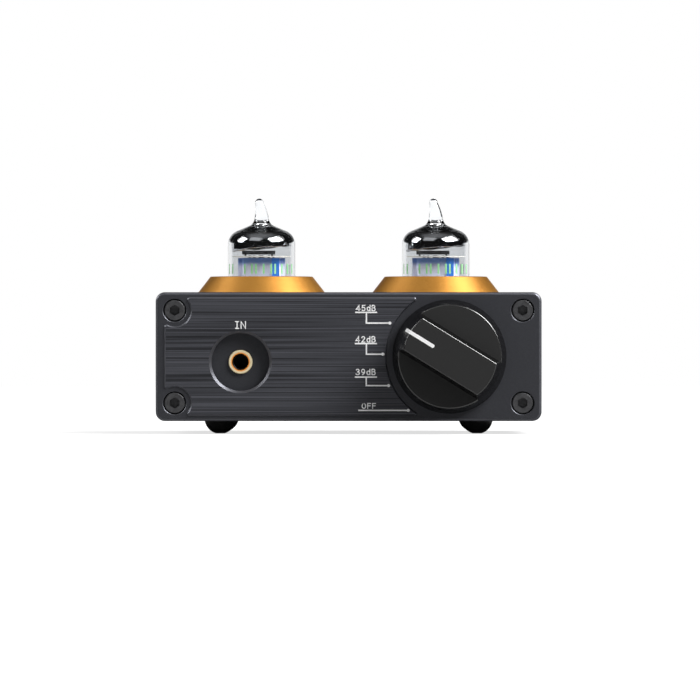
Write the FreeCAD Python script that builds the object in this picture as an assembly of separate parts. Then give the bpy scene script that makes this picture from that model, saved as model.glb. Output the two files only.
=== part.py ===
"""A valve phono preamp in a small metal box, in millimetres.

X runs to the right as seen from the front, Y from front to back and Z up. The origin is under the middle of
the whole object, on the surface that its feet stand on. The box is a front panel, an extruded sleeve and a
rear panel. A board lies in slots in the sleeve and carries two tube sockets. The tubes stand in them and
come out through two conical rings on top. A bar knob in front turns the gain switch.
"""

import FreeCAD
import Part
import math
import os
from FreeCAD import Vector

# Front panel
panel_width = 100.0
panel_height = 33.4
panel_thickness = 5.6
panel_corner_radius = 2.4
panel_front_round = 0.8

# Raised field on the front panel, which is left open around the screws and the knob
field_rise = 0.4
field_bevel = 0.35
field_left_margin = 2.25
field_top_margin = 1.3
field_corner_radius = 0.6
field_screw_clearance = 1.17
field_knob_gap = 1.55
field_tip_run = 8.1

# Panel screws
screw_side_inset = 4.93
screw_top_inset = 4.7
screw_radius = 1.5
screw_head_radius = 2.7
screw_head_height = 3.0
screw_head_round = 0.3
screw_hex_width = 2.5
screw_hex_depth = 1.8
screw_length = 12.0
counterbore_radius = 3.0
counterbore_depth = 3.2
counterbore_chamfer = 0.15
screw_hole_radius = 1.7
countersunk_head_radius = 2.8
countersunk_head_height = 1.3
countersunk_hex_width = 2.0
countersunk_hex_depth = 1.0

# Sleeve and rear panel
sleeve_length = 92.0
sleeve_wall = 2.0
sleeve_inset = 0.3
sleeve_inner_radius = 0.5
screw_boss_radius = 3.0
thread_gap = 0.02
rear_thickness = 3.0

# Board and the ribs that hold it
board_boss_gap = 0.7
board_thickness = 1.6
board_side_gap = 0.2
board_front_gap = 2.4
board_rear_gap = 2.0
rib_width = 1.4
rib_thickness = 1.2
rib_gap = 0.1

# Feet
foot_side_inset = 16.2
foot_end_inset = 12.0
foot_radius = 4.1
foot_height = 3.6
foot_flat_radius = 1.2

# Tubes, 7-pin miniature
tube_spacing = 46.0
tube_depth = 48.0
tube_sink = 17.4
bulb_radius = 8.95
glass_wall = 0.95
bulb_straight_height = 25.6
base_round = 1.6
base_thickness = 2.4
shoulder_radius = 4.0
shoulder_cone_angle = 22.6
neck_radius = 1.9
neck_blend_radius = 2.2
tip_radii = (1.9, 1.6, 1.35, 1.15)
tip_heights = (0.0, 1.5, 2.9, 4.0)
tip_leans = (0.0, -0.08, -0.32, -0.62)
tube_pin_radius = 0.508
tube_pin_length = 7.0
tube_pin_circle = 4.7625
tube_pin_count = 7
tube_pin_step = 45.0
seat_gap = 0.2

# Inside the tubes
mica_radius = 7.7
mica_thickness = 0.25
lower_mica_height = 7.2
upper_mica_height = 22.35
lead_radius = 0.3
plate_half_width = 4.9
plate_half_depth = 3.2
plate_wall = 0.3
plate_flange = 1.3
plate_end_gap = 0.25
seam_place = 3.65
seam_width = 1.9
seam_rise = 0.5
cathode_radius = 0.8
grid_post_radius = 0.35
grid_post_places = (1.9, 3.1)
post_overrun = 0.7
getter_length = 8.7
getter_width = 2.4
getter_height = 1.0
getter_shift = -0.75
getter_post_radius = 0.25
getter_post_height = 0.45

# Tube sockets and their contacts
socket_radius = 8.7
socket_centre_hole = 1.5
socket_guide_radius = 0.7
contact_radius = 0.95
contact_bore_gap = 0.05
contact_top_drop = 0.9
contact_floor_depth = 0.6
contact_tail_radius = 0.4
contact_tail_length = 2.4
tail_hole_radius = 0.5

# Tube rings and their nuts
ring_bore_radius = 10.2
ring_top_radius = 13.5
ring_base_radius = 16.9
ring_height = 4.7
ring_base_band = 0.3
ring_top_round = 0.45
ring_bore_chamfer = 0.4
ring_thread_radius = 11.2
ring_thread_length = 5.0
ring_hole_gap = 0.1
ring_nut_radius = 13.5
ring_nut_thickness = 2.4
ring_nut_slot = 2.0

# Input jack
jack_side_inset = 21.96
jack_drop = 1.37
jack_recess_radius = 7.5
jack_recess_depth = 2.8
jack_recess_chamfer = 0.65
jack_bush_radius = 3.1
jack_bore_radius = 1.8
jack_bush_lip = 0.7
jack_bush_chamfer = 0.35
jack_bush_insertion = 3.0
jack_hole_gap = 0.1
jack_body_width = 11.0
jack_body_length = 14.0
jack_body_rise = 4.4
jack_cavity_radius = 2.1
jack_cavity_length = 12.0

# Gain switch
switch_side_inset = 23.9
switch_radius = 11.8
switch_length = 9.0
switch_plate_thickness = 1.5
bushing_radius = 4.5
bushing_reach = 3.4
bushing_hole_gap = 0.1
washer_radius = 7.0
washer_thickness = 0.5
nut_width = 12.0
nut_thickness = 2.0
shaft_radius = 3.0
shaft_gap = 0.05
shaft_inner_length = 7.5
shaft_end_gap = 0.5
shaft_tip_gap = 0.2
shaft_flat_depth = 1.0
shaft_flat_length = 7.5
terminal_radius = 0.4
terminal_count = 5
terminal_pitch = 3.0
terminal_length = 6.0
switch_notch_gap = 1.2

# Knob
knob_gap = 0.8
knob_radius = 14.75
knob_floor_radius = 13.4
knob_skirt_height = 8.4
knob_skirt_edge_round = 0.35
knob_bar_height = 6.0
knob_bar_top_half_width = 4.76
knob_bar_base_half_width = 5.66
knob_bar_end_radius = 12.1
knob_bar_edge_round = 0.25
knob_cavity_radius = 9.0
knob_cavity_depth = 3.9
knob_pointing = 148.4
pointer_width = 0.92
pointer_start = 4.8
pointer_depth = 0.35
insert_radius = 4.4
insert_length = 9.0
insert_floor = 0.8

# Rear sockets
rca_places = (-38.0, -24.0, 4.0, 18.0)
rca_names = ("in_left", "in_right", "out_left", "out_right")
rca_shell_radius = 4.15
rca_shell_wall = 0.6
rca_reach = 8.5
rca_flange_radius = 5.4
rca_flange_thickness = 1.2
rca_thread_radius = 3.6
rca_thread_length = 7.5
rca_nut_width = 10.0
rca_nut_thickness = 2.0
rca_hole_gap = 0.1
rca_contact_lip = 0.5
rca_centre_bore = 1.65
rca_contact_wall = 0.4
rca_contact_inset = 0.8
rca_tail_length = 4.0

# Ground post
ground_x = -10.0
ground_drop = 2.0
ground_post_radius = 2.0
ground_post_reach = 13.0
ground_collar_radius = 4.0
ground_collar_thickness = 2.0
ground_nut_radius = 4.5
ground_nut_length = 7.0
ground_nut_start = 4.0
ground_nut_gap = 0.06
ground_nut_knurls = 24
ground_nut_knurl_depth = 0.3
ground_lock_nut_width = 7.0
ground_lock_nut_thickness = 2.4
ground_post_inner_length = 5.0

# Supply inlet
inlet_side_inset = 14.0
inlet_body_width = 9.0
inlet_body_length = 13.0
inlet_body_rise = 5.2
inlet_nose_radius = 4.6
inlet_cavity_radius = 3.1
inlet_cavity_depth = 9.5
inlet_pin_radius = 1.05
inlet_pin_inset = 0.6
inlet_hole_gap = 0.15

# Parts on the board
can_radius = 4.0
can_height = 12.0
can_round = 0.4
can_places = ((0.0, 14.0), (0.0, 26.0), (0.0, 64.0))
film_size = (13.0, 5.0, 9.0)
film_side_inset = 9.7
film_depth = 66.0
middle_film_place = (-6.5, 45.0)
chip_size = (5.0, 4.0, 1.6)
chip_places = ((-9.0, 30.0), (9.0, 45.0), (9.0, 56.0))
coil_radius = 4.5
coil_height = 5.0
coil_bore_radius = 1.5
coil_film_step = 12.0
coil_depth = 70.0

# Where things lie along Y and Z, worked out from the sizes above
knob_reach = knob_gap + knob_skirt_height + knob_bar_height
rear_reach = max(ground_post_reach, rca_reach)
overall_depth = knob_reach + panel_thickness + sleeve_length + rear_thickness + rear_reach
front_y = knob_reach - overall_depth / 2
sleeve_front_y = front_y + panel_thickness
sleeve_rear_y = sleeve_front_y + sleeve_length
rear_y = sleeve_rear_y + rear_thickness
field_y = front_y - field_rise
axis_z = foot_height - sleeve_inset + panel_height / 2
sleeve_half_width = panel_width / 2 - sleeve_inset
sleeve_half_height = panel_height / 2 - sleeve_inset
sleeve_top_z = axis_z + sleeve_half_height
sleeve_bottom_z = axis_z - sleeve_half_height
roof_inner_z = sleeve_top_z - sleeve_wall
screw_x = panel_width / 2 - screw_side_inset
screw_z = panel_height / 2 - screw_top_inset
board_bottom_z = axis_z - screw_z + screw_boss_radius + board_boss_gap
board_top_z = board_bottom_z + board_thickness
tube_y = front_y + tube_depth
jack_x = jack_side_inset - panel_width / 2
switch_x = panel_width / 2 - switch_side_inset
inlet_x = panel_width / 2 - inlet_side_inset
film_x = sleeve_half_width - sleeve_wall - film_side_inset
film_places = ((-film_x, film_depth), (film_x, film_depth), middle_film_place)
jack_z = axis_z - jack_drop
recess_floor_y = field_y + jack_recess_depth
seat_z = sleeve_top_z + ring_height - tube_sink


def cylinder(radius, length, start, direction):
    """A round bar of one length from a start point along a direction."""
    return Part.makeCylinder(radius, length, start, direction)


def block(low, high):
    """A box between two opposite corners."""
    size = high - low
    return Part.makeBox(size.x, size.y, size.z, low)


def tube(outer, inner, length, start, direction):
    """A round bar with a hole right through it."""
    return cylinder(outer, length, start, direction).cut(cylinder(inner, length, start, direction))


def fuse(shapes):
    """Joins shapes into one solid and removes the seams between them."""
    first, rest = shapes[0], shapes[1:]
    return (first.multiFuse(rest) if rest else first).removeSplitter()


def cut(shape, tools):
    """Takes every tool away from a shape."""
    for tool in tools:
        shape = shape.cut(tool)
    return shape


def edges_where(shape, test):
    """Edges of a shape whose every vertex and middle pass a test."""
    found = []
    for edge in shape.Edges:
        first, last = edge.ParameterRange
        middle = edge.valueAt((first + last) / 2)
        if test(middle) and all(test(v.Point) for v in edge.Vertexes):
            found.append(edge)
    return found


def rounded_bar(half_width, half_height, radius, y, length):
    """A bar along Y with a round-cornered rectangular section centred on the panel's axis."""
    corner = Vector(-half_width, y, axis_z - half_height)
    bar = Part.makeBox(2 * half_width, length, 2 * half_height, corner)
    along = [e for e in bar.Edges if abs(e.tangentAt(e.FirstParameter).y) > 0.99]
    return bar.makeFillet(radius, along)


def hexagon_bar(width, length, start, direction_y, turn=0.0):
    """A hexagonal bar along Y, measured across its flats, standing on a vertex unless turned."""
    radius = width / math.sqrt(3)
    points = []
    for k in range(7):
        angle = math.radians(90 + 60 * k + turn)
        points.append(start + Vector(radius * math.cos(angle), 0, radius * math.sin(angle)))
    return Part.Face(Part.makePolygon(points)).extrude(Vector(0, direction_y * length, 0))


def turned(points, place, axis):
    """A lathe part: points are (radius, distance along the axis) or Part edges already made."""
    wire = Part.makePolygon([Vector(r, 0, h) for r, h in points + points[:1]])
    shape = Part.Face(wire).revolve(Vector(0, 0, 0), Vector(0, 0, 1), 360)
    return aimed(shape, place, axis)


def aimed(shape, place, axis):
    """Moves a shape made along +Z so that it points along an axis from a place."""
    moved = shape.copy()
    turn = FreeCAD.Rotation(Vector(0, 0, 1), axis)
    moved.Placement = FreeCAD.Placement(place, turn).multiply(moved.Placement)
    return moved


def screw_centres():
    """The four panel screws' places, left to right and bottom to top, as (x, z)."""
    return [(sx * screw_x, axis_z + sz * screw_z) for sx in (-1, 1) for sz in (-1, 1)]


BACK = Vector(0, 1, 0)
FRONT = Vector(0, -1, 0)
UP = Vector(0, 0, 1)
DOWN = Vector(0, 0, -1)


def arc_through(centre, radius, start, middle_angle, end):
    """An arc about a centre on the panel from a start to an end point, by way of the middle angle."""
    middle = centre + Vector(math.cos(middle_angle), 0, math.sin(middle_angle)) * radius
    return Part.Arc(start, middle, end).toShape()


def raised_field():
    """The brushed field: a rectangle less the screws' corners and the knob's disc, with bevelled walls."""
    left = -panel_width / 2 + field_left_margin
    half = panel_height / 2 - field_top_margin
    clear = counterbore_radius + field_screw_clearance
    beside = math.sqrt(clear ** 2 - (screw_x + left) ** 2)
    along = math.sqrt(clear ** 2 - (half - screw_z) ** 2)
    sweep = math.hypot(half, field_tip_run)
    knob_centre = Vector(switch_x - knob_radius - field_knob_gap + sweep, field_y, axis_z)
    tip_x = knob_centre.x - field_tip_run

    def at(x, z):
        return Vector(x, field_y, axis_z + z)

    top, bottom = at(-screw_x, screw_z), at(-screw_x, -screw_z)
    edges = [arc_through(top, clear, at(left, screw_z - beside), math.radians(-45), at(along - screw_x, half)),
             Part.LineSegment(at(along - screw_x, half), at(tip_x, half)).toShape(),
             arc_through(knob_centre, sweep, at(tip_x, half), math.pi, at(tip_x, -half)),
             Part.LineSegment(at(tip_x, -half), at(along - screw_x, -half)).toShape(),
             arc_through(bottom, clear, at(along - screw_x, -half), math.radians(45),
                         at(left, beside - screw_z)),
             Part.LineSegment(at(left, beside - screw_z), at(left, screw_z - beside)).toShape()]
    field = Part.Face(Part.Wire(edges)).extrude(Vector(0, field_rise, 0))
    upright = [e for e in field.Edges if abs(e.tangentAt(e.FirstParameter).y) > 0.99]
    field = field.makeFillet(field_corner_radius, upright)
    front = edges_where(field, lambda p: abs(p.y - field_y) < 0.001)
    return field.makeChamfer(field_bevel, front)


def front_panel():
    """The machined front plate with its field, jack recess, counterbores and the holes behind them."""
    plate = rounded_bar(panel_width / 2, panel_height / 2, panel_corner_radius, front_y, panel_thickness)
    front = edges_where(plate, lambda p: abs(p.y - front_y) < 0.001)
    plate = plate.makeFillet(panel_front_round, front)
    plate = fuse([plate, raised_field()])
    tools = []
    for x, z in screw_centres():
        tools.append(turned([(0, -1), (counterbore_radius + counterbore_chamfer, -1),
                             (counterbore_radius + counterbore_chamfer, 0),
                             (counterbore_radius, counterbore_chamfer),
                             (counterbore_radius, counterbore_depth), (0, counterbore_depth)],
                            Vector(x, front_y, z), BACK))
        tools.append(cylinder(screw_hole_radius, panel_thickness, Vector(x, front_y, z), BACK))
    rim = jack_recess_radius + jack_recess_chamfer
    tools.append(turned([(0, -1), (rim, -1), (rim, 0), (jack_recess_radius, jack_recess_chamfer),
                         (jack_recess_radius, jack_recess_depth), (0, jack_recess_depth)],
                        Vector(jack_x, field_y, jack_z), BACK))
    tools.append(cylinder(jack_bush_radius + jack_hole_gap, 2 * panel_thickness,
                          Vector(jack_x, field_y, jack_z), BACK))
    tools.append(cylinder(bushing_radius + bushing_hole_gap, 2 * panel_thickness,
                          Vector(switch_x, field_y, axis_z), BACK))
    return cut(plate, tools)


def socket_screw(x, z):
    """One socket-head screw seated in its counterbore."""
    seat = front_y + counterbore_depth
    head = cylinder(screw_head_radius, screw_head_height, Vector(x, seat, z), FRONT)
    face = seat - screw_head_height
    rim = edges_where(head, lambda p: abs(p.y - face) < 0.001)
    head = head.makeFillet(screw_head_round, rim)
    shank = cylinder(screw_radius, screw_length, Vector(x, seat, z), BACK)
    recess = hexagon_bar(screw_hex_width, screw_hex_depth, Vector(x, face, z), 1)
    return fuse([head, shank]).cut(recess)


def front_screws():
    return Part.makeCompound([socket_screw(x, z) for x, z in screw_centres()])


def countersunk_screw(x, z):
    """One flat-headed screw, flush with the rear panel."""
    profile = [(0, 0), (countersunk_head_radius, 0), (screw_radius, countersunk_head_height),
               (screw_radius, screw_length), (0, screw_length)]
    screw = turned(profile, Vector(x, rear_y, z), FRONT)
    return screw.cut(hexagon_bar(countersunk_hex_width, countersunk_hex_depth,
                                 Vector(x, rear_y, z), -1))


def rear_screws():
    return Part.makeCompound([countersunk_screw(x, z) for x, z in screw_centres()])


def case_sleeve():
    """The extruded sleeve: four walls, screw bosses in the corners, ribs for the board, two holes on top."""
    outer = rounded_bar(sleeve_half_width, sleeve_half_height, panel_corner_radius - sleeve_inset,
                        sleeve_front_y, sleeve_length)
    inner_x = sleeve_half_width - sleeve_wall
    inner_z = sleeve_half_height - sleeve_wall
    inner = rounded_bar(inner_x, inner_z, sleeve_inner_radius, sleeve_front_y, sleeve_length)
    parts = [outer.cut(inner)]
    y = sleeve_front_y
    for x, z in screw_centres():
        parts.append(cylinder(screw_boss_radius, sleeve_length, Vector(x, y, z), BACK))
        side = math.copysign(sleeve_half_width - sleeve_wall / 2, x)
        edge = axis_z + math.copysign(sleeve_half_height - sleeve_wall / 2, z - axis_z)
        low = Vector(min(x, side), y, min(z, edge))
        parts.append(block(low, Vector(max(x, side), y + sleeve_length, max(z, edge))))
    for side in (-1, 1):
        x0, x1 = sorted((side * (inner_x - rib_width), side * (inner_x + sleeve_wall / 2)))
        for z in (board_bottom_z - rib_gap - rib_thickness, board_top_z + rib_gap):
            parts.append(block(Vector(x0, y, z), Vector(x1, y + sleeve_length, z + rib_thickness)))
    tools = [cylinder(screw_radius + thread_gap, sleeve_length, Vector(x, y, z), BACK)
             for x, z in screw_centres()]
    for x in tube_axes():
        tools.append(cylinder(ring_thread_radius + ring_hole_gap, 2 * sleeve_wall,
                              Vector(x, tube_y, roof_inner_z - sleeve_wall / 2), UP))
    return cut(fuse(parts), tools)


def rear_panel():
    """The rear plate with countersunk screw holes and the holes for what it carries."""
    plate = rounded_bar(panel_width / 2, panel_height / 2, panel_corner_radius, sleeve_rear_y, rear_thickness)
    back = edges_where(plate, lambda p: abs(p.y - rear_y) < 0.001)
    plate = plate.makeFillet(panel_front_round, back)
    tools = []
    wide = countersunk_head_radius + thread_gap
    narrow = screw_hole_radius
    for x, z in screw_centres():
        tools.append(turned([(0, 0), (wide, 0), (narrow, wide - narrow), (narrow, rear_thickness),
                             (0, rear_thickness)], Vector(x, rear_y, z), FRONT))
    deep = rear_thickness
    for x in rca_places:
        tools.append(cylinder(rca_thread_radius + rca_hole_gap, deep, Vector(x, sleeve_rear_y, axis_z), BACK))
    tools.append(cylinder(ground_post_radius + rca_hole_gap, deep,
                          Vector(ground_x, sleeve_rear_y, axis_z - ground_drop), BACK))
    tools.append(cylinder(inlet_nose_radius + inlet_hole_gap, deep,
                          Vector(inlet_x, sleeve_rear_y, inlet_z()), BACK))
    return cut(plate, tools)


def inlet_z():
    """The supply inlet's axis lies over the board by half its body's height."""
    return board_top_z + inlet_body_rise


def tube_axes():
    return (-tube_spacing / 2, tube_spacing / 2)


def pin_angles():
    """Seven of eight places on the pin circle, the gap towards the back."""
    return [math.radians(90 + tube_pin_step * (k + 1)) for k in range(tube_pin_count)]


def pin_places(x):
    return [Vector(x + tube_pin_circle * math.cos(a), tube_y + tube_pin_circle * math.sin(a), 0)
            for a in pin_angles()]


def main_board():
    """The board in its slots, cut back around the gain switch and drilled for the socket tails."""
    half = sleeve_half_width - sleeve_wall - board_side_gap
    y0 = sleeve_front_y + board_front_gap
    y1 = sleeve_rear_y - board_rear_gap
    board = block(Vector(-half, y0, board_bottom_z), Vector(half, y1, board_top_z))
    side = switch_radius + switch_notch_gap
    notch_back = sleeve_front_y + switch_plate_thickness + switch_length + switch_notch_gap
    notch = block(Vector(switch_x - side, y0, board_bottom_z),
                  Vector(switch_x + side, notch_back, board_top_z))
    tools = [notch]
    for x in tube_axes():
        for place in pin_places(x):
            tools.append(cylinder(tail_hole_radius, board_thickness, place + Vector(0, 0, board_bottom_z), UP))
    return cut(board, tools)


def foot(x, y):
    """A domed rubber foot with a small flat where it stands."""
    rise = foot_height
    centre_h = (foot_radius ** 2 - foot_flat_radius ** 2 - rise ** 2) / (2 * rise)
    dome = math.hypot(foot_radius, centre_h)
    middle = (foot_radius + foot_flat_radius) / 2
    bulge = math.sqrt(dome ** 2 - middle ** 2) - centre_h
    edges = [Part.LineSegment(Vector(0, 0, 0), Vector(foot_radius, 0, 0)).toShape(),
             Part.Arc(Vector(foot_radius, 0, 0), Vector(middle, 0, bulge),
                      Vector(foot_flat_radius, 0, rise)).toShape(),
             Part.LineSegment(Vector(foot_flat_radius, 0, rise), Vector(0, 0, rise)).toShape(),
             Part.LineSegment(Vector(0, 0, rise), Vector(0, 0, 0)).toShape()]
    shape = Part.Face(Part.Wire(edges)).revolve(Vector(0, 0, 0), Vector(0, 0, 1), 360)
    return aimed(shape, Vector(x, y, sleeve_bottom_z), DOWN)


def feet():
    """Four feet, as {name: solid}."""
    x = sleeve_half_width - foot_side_inset
    names = {}
    for end, y in (("front", sleeve_front_y + foot_end_inset), ("rear", sleeve_rear_y - foot_end_inset)):
        for side, sx in (("left", -1), ("right", 1)):
            names["foot_%s_%s" % (end, side)] = foot(sx * x, y)
    return names


def tube_ring(x):
    """A conical ring that stands on the sleeve, with a threaded neck through the sleeve's roof."""
    neck = -ring_thread_length
    points = [(ring_bore_radius, neck), (ring_thread_radius, neck), (ring_thread_radius, 0),
              (ring_base_radius, 0), (ring_base_radius, ring_base_band), (ring_top_radius, ring_height),
              (ring_bore_radius + ring_bore_chamfer, ring_height),
              (ring_bore_radius, ring_height - ring_bore_chamfer)]
    ring = turned(points, Vector(x, tube_y, sleeve_top_z), UP)
    top = sleeve_top_z + ring_height
    rim = [e for e in edges_where(ring, lambda p: abs(p.z - top) < 0.001)
           if e.Curve.Radius > ring_bore_radius + ring_bore_chamfer + 0.1]
    return ring.makeFillet(ring_top_round, rim)


def ring_nut(x):
    """The round nut that holds a tube ring from inside, with two slots for a pin wrench."""
    nut = tube(ring_nut_radius, ring_thread_radius + thread_gap, ring_nut_thickness,
               Vector(x, tube_y, roof_inner_z), DOWN)
    half = ring_nut_slot / 2
    for side in (-1, 1):
        x0, x1 = sorted((x + side * (ring_thread_radius + half), x + side * (ring_nut_radius + 1)))
        low = Vector(x0, tube_y - half, roof_inner_z - ring_nut_thickness)
        nut = nut.cut(block(low, Vector(x1, tube_y + half, roof_inner_z - ring_nut_thickness / 2)))
    return nut


def bulb_outline(inset):
    """Half the bulb's outline as edges in the XZ plane from its foot up, drawn in by an inset."""
    cone = math.radians(shoulder_cone_angle)
    radius = bulb_radius - inset
    arc = shoulder_radius - inset
    centre = Vector(radius - arc, 0, bulb_straight_height)
    turn = math.pi / 2 - cone
    arc_end = centre + Vector(arc * math.cos(turn), 0, arc * math.sin(turn))
    arc_middle = centre + Vector(arc * math.cos(turn / 2), 0, arc * math.sin(turn / 2))
    return radius, arc_middle, arc_end


def glass_base_z():
    """Where the bulb's flat foot stands: just over its socket."""
    return seat_z + seat_gap


def glass_envelope(x):
    """The bulb: flat foot, straight wall, rounded shoulder, cone, neck and a leaning exhaust tip."""
    cone = math.radians(shoulder_cone_angle)
    radius, arc_middle, arc_end = bulb_outline(0)
    run = arc_end.x - neck_radius
    meet = Vector(neck_radius, 0, arc_end.z + run * math.tan(cone))
    tangent = neck_blend_radius * math.tan((math.pi / 2 - cone) / 2)
    blend_start = meet + Vector(tangent * math.cos(cone), 0, -tangent * math.sin(cone))
    blend_end = meet + Vector(0, 0, tangent)
    blend_centre = blend_end + Vector(neck_blend_radius, 0, 0)
    to_meet = (meet - blend_centre).normalize()
    blend_middle = blend_centre + to_meet * neck_blend_radius
    foot_round = base_round * (1 - math.sqrt(0.5))
    edges = [Part.LineSegment(Vector(0, 0, 0), Vector(radius - base_round, 0, 0)).toShape(),
             Part.Arc(Vector(radius - base_round, 0, 0), Vector(radius - foot_round, 0, foot_round),
                      Vector(radius, 0, base_round)).toShape(),
             Part.LineSegment(Vector(radius, 0, base_round),
                              Vector(radius, 0, bulb_straight_height)).toShape(),
             Part.Arc(Vector(radius, 0, bulb_straight_height), arc_middle, arc_end).toShape(),
             Part.LineSegment(arc_end, blend_start).toShape(),
             Part.Arc(blend_start, blend_middle, blend_end).toShape(),
             Part.LineSegment(blend_end, Vector(0, 0, blend_end.z)).toShape(),
             Part.LineSegment(Vector(0, 0, blend_end.z), Vector(0, 0, 0)).toShape()]
    bulb = Part.Face(Part.Wire(edges)).revolve(Vector(0, 0, 0), Vector(0, 0, 1), 360)
    bulb = fuse([bulb, exhaust_tip(blend_end.z)])
    bulb = bulb.cut(bulb_hollow(blend_end.z))
    bulb = aimed(bulb, Vector(x, tube_y, glass_base_z()), UP)
    holes = [cylinder(tube_pin_radius, base_thickness, place + Vector(0, 0, glass_base_z()), UP)
             for place in pin_places(x)]
    return cut(bulb, holes)


def exhaust_tip(neck_top):
    """The sealed-off exhaust tube: a thinning, leaning stub with a ball end."""
    rings = []
    for r, h, lean in zip(tip_radii, tip_heights, tip_leans):
        circle = Part.Circle(Vector(lean, 0, neck_top + h), Vector(0, 0, 1), r)
        rings.append(Part.Wire([circle.toShape()]))
    stub = Part.makeLoft(rings, True, False)
    end = Vector(tip_leans[-1], 0, neck_top + tip_heights[-1])
    return fuse([stub, Part.makeSphere(tip_radii[-1], end)])


def bulb_hollow(neck_top):
    """The space inside the glass, closed by the cone under the neck."""
    cone = math.radians(shoulder_cone_angle)
    radius, arc_middle, arc_end = bulb_outline(glass_wall)
    top_r = neck_radius - glass_wall
    top = Vector(top_r, 0, arc_end.z + (arc_end.x - top_r) * math.tan(cone))
    edges = [Part.LineSegment(Vector(0, 0, base_thickness), Vector(radius, 0, base_thickness)).toShape(),
             Part.LineSegment(Vector(radius, 0, base_thickness),
                              Vector(radius, 0, bulb_straight_height)).toShape(),
             Part.Arc(Vector(radius, 0, bulb_straight_height), arc_middle, arc_end).toShape(),
             Part.LineSegment(arc_end, top).toShape(),
             Part.LineSegment(top, Vector(0, 0, top.z)).toShape(),
             Part.LineSegment(Vector(0, 0, top.z), Vector(0, 0, base_thickness)).toShape()]
    return Part.Face(Part.Wire(edges)).revolve(Vector(0, 0, 0), Vector(0, 0, 1), 360)


def tube_pins(x):
    """Seven stiff pins through the glass foot, each running on inside to the lower mica."""
    tip = glass_base_z() - tube_pin_length
    inner = glass_base_z() + base_thickness
    lead_top = glass_base_z() + lower_mica_height
    pins = []
    for place in pin_places(x):
        pin = cylinder(tube_pin_radius, inner - tip, place + Vector(0, 0, tip), UP)
        end = edges_where(pin, lambda p: abs(p.z - tip) < 0.001)
        pin = pin.makeFillet(tube_pin_radius * 0.7, end)
        lead = cylinder(lead_radius, lead_top - inner, place + Vector(0, 0, inner), UP)
        pins.append(fuse([pin, lead]))
    return Part.makeCompound(pins)


def grid_posts():
    """Places of the posts across the plate, the cathode in the middle, as (offset, radius)."""
    places = [(0.0, cathode_radius)]
    for offset in grid_post_places:
        places += [(-offset, grid_post_radius), (offset, grid_post_radius)]
    return places


def tube_micas(x):
    """Two mica discs that space the electrodes from the glass."""
    base = glass_base_z()
    discs = []
    for height in (lower_mica_height, upper_mica_height):
        start = Vector(x, tube_y, base + height)
        disc = cylinder(mica_radius, mica_thickness, start, UP)
        for offset, radius in grid_posts():
            disc = disc.cut(cylinder(radius, mica_thickness, start + Vector(offset, 0, 0), UP))
        discs.append(disc)
    return Part.makeCompound(discs)


def tube_cathode(x):
    """The cathode sleeve and the grid side posts, held in both micas."""
    low = glass_base_z() + lower_mica_height - post_overrun
    high = glass_base_z() + upper_mica_height + mica_thickness + getter_post_height / 2
    rods = [cylinder(radius, high - low, Vector(x + offset, tube_y, low), UP)
            for offset, radius in grid_posts()]
    return Part.makeCompound(rods)


def tube_plate(x):
    """The folded plate: a round-cornered box section with side flanges and a raised seam in front."""
    base = glass_base_z()
    low = base + lower_mica_height + mica_thickness + plate_end_gap
    high = base + upper_mica_height - plate_end_gap
    height = high - low
    w, d = plate_half_width, plate_half_depth
    outer = block(Vector(x - w, tube_y - d, low), Vector(x + w, tube_y + d, high))
    upright = [e for e in outer.Edges if abs(e.tangentAt(e.FirstParameter).z) > 0.99]
    outer = outer.makeFillet(0.8, upright)
    flange = block(Vector(x - w - plate_flange, tube_y - plate_wall, low),
                   Vector(x + w + plate_flange, tube_y + plate_wall, high))
    seam = block(Vector(x + seam_place - seam_width / 2, tube_y - d - seam_rise, low),
                 Vector(x + seam_place + seam_width / 2, tube_y - d + plate_wall, high))
    whole = fuse([outer, flange, seam])
    t = plate_wall
    hollow = block(Vector(x - w + t, tube_y - d + t, low), Vector(x + w - t, tube_y + d - t, low + height))
    upright = [e for e in hollow.Edges if abs(e.tangentAt(e.FirstParameter).z) > 0.99]
    return whole.cut(hollow.makeFillet(0.5, upright))


def tube_getter(x):
    """The getter strip over the upper mica, on two short posts."""
    floor = glass_base_z() + upper_mica_height + mica_thickness
    under = floor + getter_post_height
    x0 = x + getter_shift - getter_length / 2
    strip = block(Vector(x0, tube_y - getter_width / 2, under),
                  Vector(x0 + getter_length, tube_y + getter_width / 2, under + getter_height))
    posts = [cylinder(getter_post_radius, getter_post_height + 0.1,
                      Vector(x0 + share * getter_length, tube_y - getter_width / 3, floor), UP)
             for share in (0.1, 0.9)]
    return fuse([strip] + posts)


def tube_socket(x):
    """A round socket on the board, with a hole for each pin and its contact."""
    height = seat_z - board_top_z
    body = cylinder(socket_radius, height, Vector(x, tube_y, board_top_z), UP)
    tools = [cylinder(socket_centre_hole, height, Vector(x, tube_y, board_top_z), UP)]
    for place in pin_places(x):
        tools.append(cylinder(socket_guide_radius, height, place + Vector(0, 0, board_top_z), UP))
        tools.append(cylinder(contact_radius, height - contact_top_drop, place + Vector(0, 0, board_top_z), UP))
    body = cut(body, tools)
    rim = [e for e in edges_where(body, lambda p: abs(p.z - seat_z) < 0.001)
           if e.Curve.Radius > tube_pin_circle]
    return body.makeChamfer(0.4, rim)


def socket_contacts(x):
    """Seven turned contacts, each bored for a tube pin, with a tail through the board."""
    top = seat_z - contact_top_drop
    floor = glass_base_z() - tube_pin_length - contact_floor_depth
    contacts = []
    for place in pin_places(x):
        barrel = cylinder(contact_radius, top - board_top_z, place + Vector(0, 0, board_top_z), UP)
        bore = cylinder(tube_pin_radius + contact_bore_gap, top - floor, place + Vector(0, 0, floor), UP)
        tail = cylinder(contact_tail_radius, contact_tail_length, place + Vector(0, 0, board_top_z), DOWN)
        contacts.append(fuse([barrel.cut(bore), tail]))
    return Part.makeCompound(contacts)


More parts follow.
